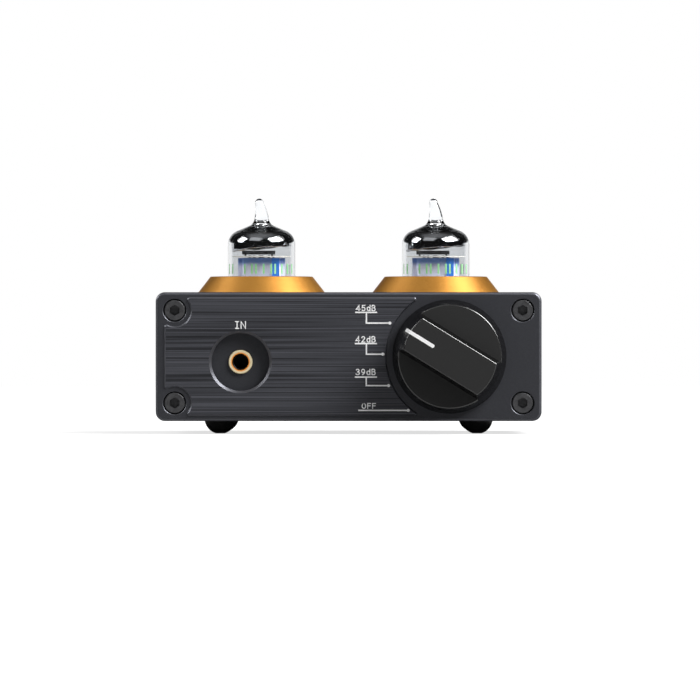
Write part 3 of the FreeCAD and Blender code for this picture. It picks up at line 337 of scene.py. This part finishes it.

# %% [markdown]
# ## The knob
# The knob is moulded in black. Its flat faces came from an etched mould and are satin, and the flanks
# between them from a polished one. The flanks are painted darker than the faces as shade, so they show as a
# black ring, and the fillets are painted light and metallic as a highlight along the rims. The faces look
# straight forward, so the normal tells which is which.


# %% Knob plastic
def knob_plastic():
    material, tree, place = new_material("moulded_knob_black_satin_and_gloss")
    facing = add(tree, "SeparateXYZ", {0: add(tree, "TexCoord").outputs["Normal"]}).outputs["Y"]
    grain = pattern(tree, place, 0.15, 2.0)
    faces = add(tree, "MapRange", {"Value": facing},
                {"From Min": -0.985, "From Max": -0.97, "To Min": 1.0, "To Max": 0.0})
    # Painted highlight: fillets and rims get a light, metallic colour.
    highlit_rims = edges(tree, 0.45, 0.97)
    # Painted shade: the flanks are near black, darker than the satin faces.
    black = add(tree, "ValToRGB", {"Fac": faces}, stops=[(0.0, linear("030303")), (1.0, linear("2B2B2B"))])
    colour = add(tree, "Mix", {"Factor": highlit_rims, COLOUR_A: black}, {COLOUR_B: linear("6C6C6C")},
                 data_type="RGBA")
    metal = add(tree, "MapRange", {"Value": highlit_rims}, {"To Max": 0.95})
    etched = add(tree, "MapRange", {"Value": grain},
                 {"From Min": NOISE_LOW, "From Max": NOISE_HIGH, "To Min": 0.44, "To Max": 0.5})
    rough = add(tree, "Mix", {"Factor": faces, NUMBER_B: etched}, {NUMBER_A: 0.24}, data_type="FLOAT")
    relief = add(tree, "Bump", {"Height": grain}, {"Distance": 0.004 * MM, "Strength": 0.3})
    shader = add(tree, "BsdfPrincipled", {"Base Color": colour.outputs[MIXED_COLOUR], "Metallic": metal,
                                          "Roughness": rough, "Normal": relief},
                 {"Specular IOR Level": 0.27})
    add(tree, "OutputMaterial", {"Surface": shader})
    return material


knob_black = knob_plastic()
print("made", knob_black.name)

# %% [markdown]
# ## Glass
# The bulbs are blown soda-lime glass. Light bends at each wall, which draws the dark and bright lines
# along the edges. Lamps have to reach what is inside, so for shadow rays alone the glass is clear.


# %% Blown glass
def blown_glass():
    material, tree, place = new_material("blown_soda_lime_glass")
    ripple = add(tree, "Bump", {"Height": pattern(tree, place, 6.0, 2.0)},
                 {"Distance": 0.02 * MM, "Strength": 0.3})
    solid = add(tree, "BsdfPrincipled", {"Normal": ripple},
                {"Base Color": linear("E8EAEC"), "Roughness": 0.0, "IOR": 1.5, "Transmission Weight": 1.0})
    clear = add(tree, "BsdfTransparent", None, {"Color": linear("F0F0F0")})
    shadow = add(tree, "LightPath").outputs["Is Shadow Ray"]
    mixed = add(tree, "MixShader", {0: shadow, 1: solid, 2: clear})
    add(tree, "OutputMaterial", {"Surface": mixed})
    return material


glass = blown_glass()
print("made", glass.name)

# %% [markdown]
# ## The tube's plate
# The plate is nickel sheet. Its lower part is lavender and pale, and its upper part is painted a darker blue
# as the shade under the mica. The raised seam is painted a clear bright blue as a reflection. Both follow
# from where a point lies on the plate. The sheet is dull, so it is drawn without a metal's mirror.

# %% Plate metal
SHADE_BOTTOM, SHADE_TOP = 1.6 * MM, 0.2 * MM
SEAM_RIGHT, SEAM_HALF, SEAM_DEEP = 3.65 * MM, 0.97 * MM, 0.05 * MM
print("the blue seam is", round(2 * SEAM_HALF / MM, 2), "mm wide")


def plate_metal(side):
    low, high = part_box(side + "_tube_plate")
    material, tree, place = new_material("blued_nickel_sheet_" + side)
    axes = add(tree, "SeparateXYZ", {0: place})
    wavy = add(tree, "Math", {0: pattern(tree, place, 5.0), 2: axes.outputs["Z"]}, {1: 1.5 * MM},
               operation="MULTIPLY_ADD")
    # Painted shade: the plate turns darker blue towards its top, as under the mica.
    upper = add(tree, "MapRange", {"Value": wavy},
                {"From Min": high.z - SHADE_BOTTOM, "From Max": high.z - SHADE_TOP})
    shade = add(tree, "ValToRGB", {"Fac": upper}, stops=[(0.0, linear("E6E9FB")), (1.0, linear("7698D8"))])
    # Painted reflection: a bright blue stripe on the raised seam.
    across = add(tree, "Math", {0: axes.outputs["X"]}, {1: (low.x + high.x) / 2 + SEAM_RIGHT},
                 operation="SUBTRACT")
    offset = add(tree, "Math", {0: across}, operation="ABSOLUTE")
    near = add(tree, "Math", {0: offset}, {1: SEAM_HALF}, operation="LESS_THAN")
    front = add(tree, "Math", {0: axes.outputs["Y"]}, {1: low.y + SEAM_DEEP}, operation="LESS_THAN")
    seam = add(tree, "Math", {0: near, 1: front}, operation="MULTIPLY")
    colour = add(tree, "Mix", {"Factor": seam, COLOUR_A: shade}, {COLOUR_B: linear("3C86EA")},
                 data_type="RGBA")
    relief = add(tree, "Bump", {"Height": pattern(tree, place, 0.3)},
                 {"Distance": 0.01 * MM, "Strength": 0.4})
    shader = add(tree, "BsdfPrincipled", {"Base Color": colour.outputs[MIXED_COLOUR], "Normal": relief},
                 {"Metallic": 0.0, "Roughness": 0.4})
    add(tree, "OutputMaterial", {"Surface": shader})
    return material


# %% [markdown]
# ## Which piece is made of what
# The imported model's pieces have names. One table says which finish each name gets, and loops cover the
# pieces that come in numbers: the feet, the jacks and the two tubes.

# %% Give every node its material
finishes = {
    "case_sleeve": black_anodised, "front_panel": front_finish, "rear_panel": black_anodised,
    "front_screws": black_oxide, "rear_screws": black_oxide, "main_board": solder_mask,
    "input_jack_bush": nose_gold, "input_jack_body": black_abs, "switch_bushing": nickel,
    "switch_body": black_abs, "switch_terminals": nickel, "switch_washer": nickel, "switch_nut": nickel,
    "switch_shaft": nickel, "gain_knob": knob_black, "knob_pointer": white_ink, "knob_insert": brass,
    "rca_contacts": gold_plate, "rca_nuts": nickel, "ground_post": gold_plate,
    "ground_thumb_nut": gold_plate, "ground_lock_nut": nickel, "inlet_body": black_abs,
    "inlet_pin": nickel, "filter_capacitors": can_film, "film_capacitors": potted_film,
    "amplifier_chips": black_abs, "power_inductor": black_abs, "ring_nuts": black_anodised,
}
tube_finishes = {
    "tube_ring": gold_anodised, "tube_socket": steatite, "socket_contacts": nickel, "tube_glass": glass,
    "tube_pins": nickel, "tube_micas": mica, "tube_cathode": nickel, "tube_getter": black_oxide,
}
for name in nodes:
    if name.startswith("foot_"):
        finishes[name] = foot_rubber
    elif name.endswith("_shell"):
        finishes[name] = gold_plate
    elif name.endswith("_insulator"):
        finishes[name] = white_nylon if "left" in name else red_nylon
for side in SIDES:
    for part, finish in tube_finishes.items():
        finishes[side + "_" + part] = finish
    finishes[side + "_tube_plate"] = plate_metal(side)
for name, piece in nodes.items():
    piece.data.materials.clear()
    piece.data.materials.append(finishes[name])
print("finished", len(nodes), "nodes")

# %% [markdown]
# ## Printing on the front
# The dial's words and leaders are white ink, baked on. The letters are plain upright strokes 0.25 mm wide
# with round bows, fitted to the height and width that they have on the panel. Ink stands 0.03 mm off the
# metal, and each stroke after the first lies a little higher, as a second pass of ink does where it
# crosses one.

# %% A piece of the object's own
INK = 0.03 * MM
NEXT_PASS = 0.12
STROKE = 0.25 * MM


def own_piece(name, mesh, material, body):
    """A new piece of the object from a mesh in the row frame."""
    piece = bpy.data.objects.new(name, mesh)
    bpy.context.scene.collection.objects.link(piece)
    mesh.materials.clear()
    mesh.materials.append(material)
    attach(piece, body)
    return piece


print("letters are drawn with strokes", round(STROKE / MM, 2), "mm wide")


# %% Letters
def bow(x, z, half_width, half_height, start, end, steps=14):
    """Points of an arc from start to end in degrees, in a letter's own square."""
    turns = [math.radians(start + (end - start) * k / steps) for k in range(steps + 1)]
    return [(x + half_width * math.cos(t), z + half_height * math.sin(t)) for t in turns]


# Each letter is its width and its strokes, in a square of height 1.
letters = {
    "2": (0.56, [bow(0.27, 0.73, 0.25, 0.27, 165, -25) + [(0.02, 0), (0.55, 0)]]),
    "3": (0.56, [bow(0.25, 0.76, 0.24, 0.24, 150, -90), bow(0.25, 0.27, 0.29, 0.27, 85, -150)]),
    "4": (0.62, [[(0.45, 0), (0.45, 1), (0, 0.28), (0.62, 0.28)]]),
    "5": (0.56, [[(0.50, 1), (0.08, 1), (0.05, 0.55)] + bow(0.26, 0.31, 0.28, 0.31, 110, -145)]),
    "9": (0.56, [bow(0.27, 0.68, 0.25, 0.32, 0, 360),
                 [(0.52, 0.68), (0.50, 0.42), (0.40, 0.18), (0.18, 0)]]),
    "B": (0.54, [[(0, 0), (0, 1), (0.26, 1)] + bow(0.26, 0.77, 0.22, 0.23, 90, -90) + [(0, 0.54)],
                 [(0.26, 0.54)] + bow(0.28, 0.27, 0.26, 0.27, 90, -90) + [(0, 0)]]),
    "C": (0.56, [bow(0.31, 0.5, 0.31, 0.5, 45, 315)]),
    "D": (0.58, [[(0, 0), (0, 1), (0.22, 1)] + bow(0.22, 0.5, 0.36, 0.5, 90, -90) + [(0, 0)]]),
    "F": (0.48, [[(0, 0), (0, 1), (0.48, 1)], [(0, 0.52), (0.42, 0.52)]]),
    "G": (0.60, [bow(0.31, 0.5, 0.31, 0.5, 45, 340) + [(0.60, 0.48), (0.34, 0.48)]]),
    "I": (0.40, [[(0.20, 0), (0.20, 1)], [(0, 1), (0.40, 1)], [(0, 0), (0.40, 0)]]),
    "N": (0.58, [[(0, 0), (0, 1), (0.58, 0), (0.58, 1)]]),
    "O": (0.60, [bow(0.30, 0.5, 0.30, 0.5, 90, 470, 20)]),
    "T": (0.56, [[(0, 1), (0.56, 1)], [(0.28, 1), (0.28, 0)]]),
    "U": (0.56, [[(0, 1), (0, 0.3)] + bow(0.28, 0.3, 0.28, 0.3, 180, 360) + [(0.56, 1)]]),
    "d": (0.50, [bow(0.25, 0.34, 0.25, 0.34, 0, 360), [(0.50, 1), (0.50, 0)]]),
    " ": (0.20, []),
}
LETTER_GAP = 0.34
print("drew", len(letters) - 1, "letters and figures")

# %% [markdown]
# A line of ink is a flat bar that follows its points. At a corner its sides are pushed out so that the
# bar keeps its width, only less so where the corner is very sharp. At both ends it is longer by half its
# width. In all of these functions a point is (x, z) on the panel in metres, y is the height of the metal,
# and facing is 1 on the front and -1 on the rear.

# %% Strokes of ink
SHARPEST_CORNER = 0.2


def ink_stroke(whole, run, width, thick, y, facing):
    """One line of ink along a run of points."""
    last = len(run) - 1
    sections = []
    for k, point in enumerate(run):
        back = (Vector(point) - Vector(run[max(k - 1, 0)])).normalized()
        ahead = (Vector(run[min(k + 1, last)]) - Vector(point)).normalized()
        along = (back + ahead).normalized()
        corner = max((back.dot(ahead) + 1) / 2, SHARPEST_CORNER) ** 0.5 if 0 < k < last else 1
        side = Vector((-along.y, along.x)) * width / 2 / corner
        tip = along * (width / 2 if k == last else -width / 2 if k == 0 else 0)
        middle = Vector(point) + tip
        sections.append([(middle + side * m, d) for m, d in ((1, 0), (1, 1), (-1, 1), (-1, 0))])
    rows = [[whole.verts.new((facing * q.x, y - facing * d * thick, q.y)) for q, d in section]
            for section in sections]
    for a, b in zip(rows, rows[1:]):
        for k in range(4):
            n = (k + 1) % 4
            whole.faces.new((a[k], b[k], b[n], a[n]))
    whole.faces.new(rows[0])
    whole.faces.new(rows[-1][::-1])


# %% Spots of ink, and a whole piece of printing
SPOT_CORNERS = 24


def ink_spot(whole, x, z, size, thick, y, facing):
    """One round spot of ink."""
    turns = [2 * math.pi * k / SPOT_CORNERS for k in range(SPOT_CORNERS)]
    highlit_rims = [[whole.verts.new((facing * (x + size / 2 * math.cos(t)), y - facing * d * thick,
                              z + size / 2 * math.sin(t))) for t in turns] for d in (0, 1)]
    for k in range(SPOT_CORNERS):
        n = (k + 1) % SPOT_CORNERS
        whole.faces.new((highlit_rims[0][k], highlit_rims[0][n], highlit_rims[1][n], highlit_rims[1][k]))
    whole.faces.new(highlit_rims[1])
    whole.faces.new(highlit_rims[0][::-1])


def ink(name, runs, width=STROKE, spots=(), y=field_y, facing=1):
    """A piece of printing from runs of points, and spots as (x, z, diameter)."""
    whole = bmesh.new()
    for layer, run in enumerate(runs):
        ink_stroke(whole, run, width, INK * (1 + NEXT_PASS * layer), y, facing)
    for x, z, size in spots:
        ink_spot(whole, x, z, size, INK * (1 + NEXT_PASS * len(runs)), y, facing)
    bmesh.ops.recalc_face_normals(whole, faces=whole.faces)
    mesh = bpy.data.meshes.new(name)
    whole.to_mesh(mesh)
    whole.free()
    return own_piece(name, mesh, white_ink, "chassis")


# %% Words and places on the panel
def lettering(name, words, low, high, y=field_y, facing=1):
    """Words fitted to a box on the panel, given by its low and high corners."""
    total = sum(letters[c][0] for c in words) + LETTER_GAP * (len(words) - 1)
    wide, tall = high[0] - low[0] - STROKE, high[1] - low[1] - STROKE
    runs, pen = [], 0.0
    for c in words:
        width, strokes = letters[c]
        for stroke in strokes:
            runs.append([(low[0] + STROKE / 2 + (pen + px) / total * wide, low[1] + STROKE / 2 + pz * tall)
                         for px, pz in stroke])
        pen += width + LETTER_GAP
    return ink(name, runs, y=y, facing=facing)


def on_panel(x, z):
    """A place in mm from the panel's centre, as metres in the row frame."""
    return x * MM, panel_centre.z + z * MM


print("the panel's centre is", round(on_panel(0, 0)[1] / MM, 2), "mm above the ground")

# %% [markdown]
# Each gain mark is a word with a rule under it and a leader that runs to a dot beside the knob. The dots
# lie 28 degrees apart, where the pointer stops. OFF has its dot at the end of its rule, so it needs no
# leader.

# %% Dial marks
RULE_WIDTH = 0.36 * MM
DOT = 0.8 * MM
# The word, its left and right, its bottom and top, the rule's height, its left and right, where the leader
# drops from it, and the dot's place, all in mm from the panel's centre.
marks = [
    ("45dB", (1.88, 6.98), (11.77, 13.40), 11.46, (1.88, 7.16), 4.60, (10.68, 8.69)),
    ("42dB", (1.77, 6.98), (3.64, 5.32), 3.38, (1.77, 7.16), 4.60, (8.87, 0.63)),
    ("39dB", (1.80, 7.00), (-4.80, -3.15), -5.30, (1.77, 7.16), 4.55, (10.34, -7.50)),
    ("OFF", (3.35, 7.06), (-13.53, -12.00), -13.92, (2.68, 15.42), None, (15.42, -13.92)),
]
for words, across, up, rule, rule_across, drop, dot in marks:
    lettering("mark_" + words, words, on_panel(across[0], up[0]), on_panel(across[1], up[1]))
    runs = [[on_panel(rule_across[0], rule), on_panel(rule_across[1], rule)]]
    if drop is not None:
        runs.append([on_panel(drop, rule), on_panel(drop, dot[1]), on_panel(*dot)])
    ink("leader_" + words, runs, RULE_WIDTH, [(*on_panel(*dot), DOT)])
lettering("mark_IN", "IN", on_panel(-29.4, 7.2), on_panel(-26.6, 9.2))
print("printed", len(marks) + 1, "marks on the front")

# %% [markdown]
# ## Printing on the rear
# The rear says in plain words what each connector is for, in the same ink. Its letters are 1.8 mm high,
# and they are drawn mirrored in X, so that they read the right way from behind.

# %% Rear marks
rear_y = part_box("rear_panel")[1].y
REAR_HEIGHT_MM = 1.8
HALF_LETTER_MM = 0.75
rear_marks = [("rear_in", "IN", 31.0, -9.6), ("rear_out", "OUT", -11.0, -9.6),
              ("rear_ground", "GND", 10.0, 5.0), ("rear_supply", "DC IN", -36.0, 6.6)]
for name, words, x, z in rear_marks:
    half = HALF_LETTER_MM * len(words)
    lettering(name, words, on_panel(x - half, z), on_panel(x + half, z + REAR_HEIGHT_MM), rear_y, -1)
print("printed", len(rear_marks), "marks on the rear")

# %% [markdown]
# ## The getter mirrors
# Getter metal flashed onto the inside of each dome makes a mirror. Its lower border is uneven and slants,
# as the flash goes up from one side. It is a film on the glass, so it is a thin shell turned from the
# dome's inner outline. It starts at the border and follows the wall, the shoulder and the cone up to the
# neck.

# %% The bulb's measures
# Heights are over the bulb's base.
BULB_RADIUS, BULB_WALL = 8.95 * MM, 0.95 * MM
STRAIGHT_TOP = 25.6 * MM
SHOULDER_RADIUS = 4.0 * MM
CONE_SLOPE = math.radians(22.6)
NECK_RADIUS = 0.9 * MM
FILM_GAP, FILM_THICKNESS = 0.04 * MM, 0.02 * MM
AROUND, WALL_STEPS, SHOULDER_STEPS, CONE_STEPS = 96, 6, 8, 6


def mirror_border(a):
    """How far the mirror reaches down the wall at turn a: a slant with two small waves in it."""
    return (0.95 - 0.75 * math.cos(a + 0.2) + 0.1 * math.sin(5 * a) + 0.07 * math.sin(11 * a + 1)) * MM


print("the mirrors reach down", round(mirror_border(0) / MM, 2), "mm right,",
      round(mirror_border(math.pi) / MM, 2), "mm left")


# %% Mirror metal
def getter_mirror():
    material, tree, place = new_material("flashed_barium_mirror")
    cloud = pattern(tree, place, 4.0)
    colour = add(tree, "ValToRGB", {"Fac": cloud},
                 stops=[(NOISE_LOW, linear("C8C8CA")), (NOISE_HIGH, linear("E4E4E6"))])
    rough = add(tree, "MapRange", {"Value": cloud},
                {"From Min": NOISE_LOW, "From Max": NOISE_HIGH, "To Min": 0.03, "To Max": 0.07})
    shader = add(tree, "BsdfPrincipled", {"Base Color": colour, "Roughness": rough}, {"Metallic": 1.0})
    add(tree, "OutputMaterial", {"Surface": shader})
    return material


mirror_film = getter_mirror()
print("made", mirror_film.name)


# %% Mirror film
def dome_outline(radius, bend):
    """Radius and height of the dome's inside from the top of the wall to the neck."""
    outline = []
    for k in range(SHOULDER_STEPS + 1):
        turn = (math.pi / 2 - CONE_SLOPE) * k / SHOULDER_STEPS
        outline.append((radius - bend + bend * math.cos(turn), STRAIGHT_TOP + bend * math.sin(turn)))
    end_r, end_z = outline[-1]
    for k in range(1, CONE_STEPS + 1):
        r = end_r + (NECK_RADIUS - end_r) * k / CONE_STEPS
        outline.append((r, end_z + (end_r - r) * math.tan(CONE_SLOPE)))
    return outline


def getter_film(side):
    glass_low, glass_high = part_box(side + "_tube_glass")
    ring_low, ring_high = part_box(side + "_tube_ring")
    base = Vector(((ring_low.x + ring_high.x) / 2, (glass_low.y + glass_high.y) / 2, glass_low.z))
    radius = BULB_RADIUS - BULB_WALL - FILM_GAP
    turns = [2 * math.pi * s / AROUND for s in range(AROUND)]
    borders = [STRAIGHT_TOP - mirror_border(a) for a in turns]
    rows = [[(radius, border + (STRAIGHT_TOP - border) * k / WALL_STEPS) for border in borders]
            for k in range(WALL_STEPS)]
    rows += [[point] * AROUND for point in dome_outline(radius, SHOULDER_RADIUS - BULB_WALL - FILM_GAP)]
    shell = bmesh.new()
    rings = [[shell.verts.new(base + Vector((r * math.cos(a), r * math.sin(a), z)))
              for a, (r, z) in zip(turns, row)] for row in rows]
    for below, above in zip(rings, rings[1:]):
        for s in range(AROUND):
            n = (s + 1) % AROUND
            shell.faces.new((below[s], below[n], above[n], above[s])).smooth = True
    mesh = bpy.data.meshes.new(side + "_getter_film")
    shell.to_mesh(mesh)
    shell.free()
    piece = own_piece(side + "_getter_film", mesh, mirror_film, side + "_tube")
    film = piece.modifiers.new("film", "SOLIDIFY")
    film.thickness = FILM_THICKNESS
    film.offset = -1
    return piece


for side in SIDES:
    print("made", getter_film(side).name)

# %% [markdown]
# ## Marks on the glass
# The bulbs carry a plain row of green strokes, fired on. They are bent round the bulb just outside the
# glass.

# %% Green strokes
GREEN_GAP, GREEN_HALF = 0.02 * MM, 0.24 * MM
GREEN_BOTTOM, GREEN_TOP = 0.7 * MM, 3.3 * MM
GREEN_STEPS = 3
# Degrees round the bulb, from its front towards the right.
green_turns = (-29, -16, -9, 4, 17, 24, 37, 50, 63, 110, 123, 136, -70, -57)


def glass_marks(side):
    ring_low, ring_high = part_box(side + "_tube_ring")
    centre_x, centre_y = (ring_low.x + ring_high.x) / 2, (ring_low.y + ring_high.y) / 2
    radius = BULB_RADIUS + GREEN_GAP
    half = GREEN_HALF / radius
    strokes = bmesh.new()
    for turn in green_turns:
        middle = math.radians(turn - 90)
        columns = []
        for k in range(GREEN_STEPS + 1):
            a = middle - half + 2 * half * k / GREEN_STEPS
            columns.append([strokes.verts.new((centre_x + r * math.cos(a), centre_y + r * math.sin(a), z))
                            for r in (radius, radius + INK)
                            for z in (ring_high.z + GREEN_BOTTOM, ring_high.z + GREEN_TOP)])
        for a, b in zip(columns, columns[1:]):
            strokes.faces.new((a[2], b[2], b[3], a[3]))
            strokes.faces.new((a[1], b[1], b[0], a[0]))
            strokes.faces.new((a[3], b[3], b[1], a[1]))
            strokes.faces.new((a[0], b[0], b[2], a[2]))
        first, last = columns[0], columns[-1]
        strokes.faces.new((first[0], first[2], first[3], first[1]))
        strokes.faces.new((last[1], last[3], last[2], last[0]))
    mesh = bpy.data.meshes.new(side + "_glass_marks")
    strokes.to_mesh(mesh)
    strokes.free()
    return own_piece(side + "_glass_marks", mesh, green_ink, side + "_tube")


for side in SIDES:
    print("made", glass_marks(side).name, "with", len(green_turns), "strokes")

# %% [markdown]
# ## The floor
# The ground is plain white paper. To the camera, and seen through glass, it shines white by itself, a
# little less close to the object, and the lamps add to that. So it is white all over but keeps the
# object's shadow as a slightly darker patch. To all other rays it is grey paper that only the lamps
# light.

# %% Floor
FLOOR_HALF = 3.0
FLOOR_DROP = 0.1 * MM
GLOW_NEAR, GLOW_FAR = 0.72, 1.0
NEAR_ENDS, FAR_STARTS = 0.06, 0.115


def white_paper():
    material, tree, place = new_material("white_paper_floor")
    fibre = add(tree, "ValToRGB", {"Fac": pattern(tree, place, 2.0, 2.0)},
                stops=[(NOISE_LOW, linear("878787")), (NOISE_HIGH, linear("8D8D8D"))])
    paper = add(tree, "BsdfDiffuse", {"Color": fibre})
    away = add(tree, "VectorMath", {0: place}, operation="LENGTH").outputs["Value"]
    strength = add(tree, "MapRange", {"Value": away}, {
        "From Min": NEAR_ENDS, "From Max": FAR_STARTS, "To Min": GLOW_NEAR, "To Max": GLOW_FAR})
    glow = add(tree, "Emission", {"Strength": strength}, {"Color": (1, 1, 1, 1)})
    path = add(tree, "LightPath").outputs
    seen = add(tree, "Math", {0: path["Is Camera Ray"], 1: path["Is Transmission Ray"]}, operation="MAXIMUM")
    unlit = add(tree, "Emission", None, {"Strength": 0.0})
    shown = add(tree, "MixShader", {0: seen, 1: unlit, 2: glow})
    both = add(tree, "AddShader", {0: paper, 1: shown})
    add(tree, "OutputMaterial", {"Surface": both})
    return material


floor_mesh = bpy.data.meshes.new("floor")
corners = [(x * FLOOR_HALF, y * FLOOR_HALF, 0) for x, y in ((-1, -1), (1, -1), (1, 1), (-1, 1))]
floor_mesh.from_pydata(corners, [], [(0, 1, 2, 3)])
floor_mesh.materials.append(white_paper())
floor = bpy.data.objects.new("floor", floor_mesh)
floor.location = (0, 0, -FLOOR_DROP)
bpy.context.scene.collection.objects.link(floor)
print("laid a floor", 2 * FLOOR_HALF, "m wide")

# %% [markdown]
# ## The world
# The photograph's ground is white, and its mirrors are black with two bright panels in them. So the world
# is white for the camera and for a ray that has only passed through glass, and a dark studio for a ray
# that was mirrored. That studio is a little lighter overhead and straight behind. In it, a ray that runs
# to the back and hardly climbs still sees white, or the bulbs' walls would look black. On plain surfaces
# the world is a weak even light. A ray's direction is 1 long, so its Z is 1 straight up and its Y is 1
# straight back.

# %% A dark studio
STUDIO_DARK, STUDIO_ABOVE, STUDIO_BEHIND = 0.01, 0.25, 0.6
HARDLY_CLIMBS, TO_THE_BACK = 0.12, 0.5
EVEN_LIGHT = 0.2
world = bpy.data.worlds.new("studio")
bpy.context.scene.world = world
world.use_nodes = True
sky = world.node_tree
sky.nodes.clear()
direction = add(sky, "SeparateXYZ", {0: add(sky, "TexCoord").outputs["Generated"]}).outputs
above = add(sky, "MapRange", {"Value": direction["Z"]},
            {"From Min": 0.78, "From Max": 1.0, "To Min": STUDIO_DARK, "To Max": STUDIO_ABOVE})
behind = add(sky, "MapRange", {"Value": direction["Y"]},
             {"From Min": 0.92, "From Max": 0.98, "To Min": 0.0, "To Max": STUDIO_BEHIND})
studio = add(sky, "Math", {0: above, 1: behind}, operation="ADD")
level = add(sky, "Math", {0: direction["Z"]}, {1: HARDLY_CLIMBS}, operation="LESS_THAN")
backward = add(sky, "Math", {0: direction["Y"]}, {1: TO_THE_BACK}, operation="GREATER_THAN")
band = add(sky, "Math", {0: level, 1: backward}, operation="MULTIPLY")
studio = add(sky, "Math", {0: studio, 1: band}, operation="MAXIMUM")
print("made a studio from", len(sky.nodes), "nodes")

# %% Who sees the studio
# Glossy Depth counts how often a ray was mirrored, so below a half means never.
path = add(sky, "LightPath").outputs
unmirrored = add(sky, "Math", {0: path["Glossy Depth"]}, {1: 0.5}, operation="LESS_THAN")
through = add(sky, "Math", {0: path["Is Transmission Ray"], 1: unmirrored}, operation="MULTIPLY")
seen = add(sky, "Math", {0: path["Is Camera Ray"], 1: through}, operation="MAXIMUM")
mirrored = add(sky, "Math", {0: path["Is Glossy Ray"], 1: path["Is Transmission Ray"]}, operation="MAXIMUM")
lit = add(sky, "Mix", {"Factor": mirrored, NUMBER_B: studio}, {NUMBER_A: EVEN_LIGHT}, data_type="FLOAT")
strength = add(sky, "Mix", {"Factor": seen, NUMBER_A: lit}, {NUMBER_B: 1.0}, data_type="FLOAT")
backdrop = add(sky, "Background", {"Strength": strength}, {"Color": (1, 1, 1, 1)})
add(sky, "OutputWorld", {"Surface": backdrop})
print("the world has", len(sky.nodes), "nodes")

# %% [markdown]
# ## Lamps
# The main soft box stands to the upper right and well to the side, so the knob's bar throws its lower
# half into shade and the mirrors show it as a large bright panel. A box on each side draws the bands on
# the gold rings, and a weak one above the front opens the shadows. All of them stand 1.3 m off and are
# aimed at the panel's middle.

# %% Soft boxes
LAMP_AWAY = 1.3


def soft_box(name, azimuth, elevation, width, height, radiance):
    """A rectangular lamp aimed at the object. Azimuth 0 is the camera's side, 90 the right."""
    lamp = bpy.data.lights.new(name, "AREA")
    lamp.shape = "RECTANGLE"
    lamp.size, lamp.size_y = width, height
    lamp.energy = radiance * math.pi * width * height
    a, e = math.radians(azimuth), math.radians(elevation)
    to_lamp = Vector((math.sin(a) * math.cos(e), -math.cos(a) * math.cos(e), math.sin(e)))
    stand = bpy.data.objects.new(name, lamp)
    stand.location = panel_centre + to_lamp * LAMP_AWAY
    stand.rotation_mode = "QUATERNION"
    stand.rotation_quaternion = to_lamp.to_track_quat("Z", "Y")
    bpy.context.scene.collection.objects.link(stand)
    print(name, "gives", round(lamp.energy, 2), "W")


# Azimuth and elevation are in degrees, width and height in metres.
soft_box("main_box", azimuth=60, elevation=42, width=0.75, height=0.7, radiance=16.0)
soft_box("right_box", azimuth=86, elevation=42, width=0.6, height=0.7, radiance=3.8)
soft_box("left_box", azimuth=-90, elevation=33, width=0.5, height=0.7, radiance=8.0)
soft_box("fill_box", azimuth=-32, elevation=52, width=0.9, height=0.7, radiance=0.6)
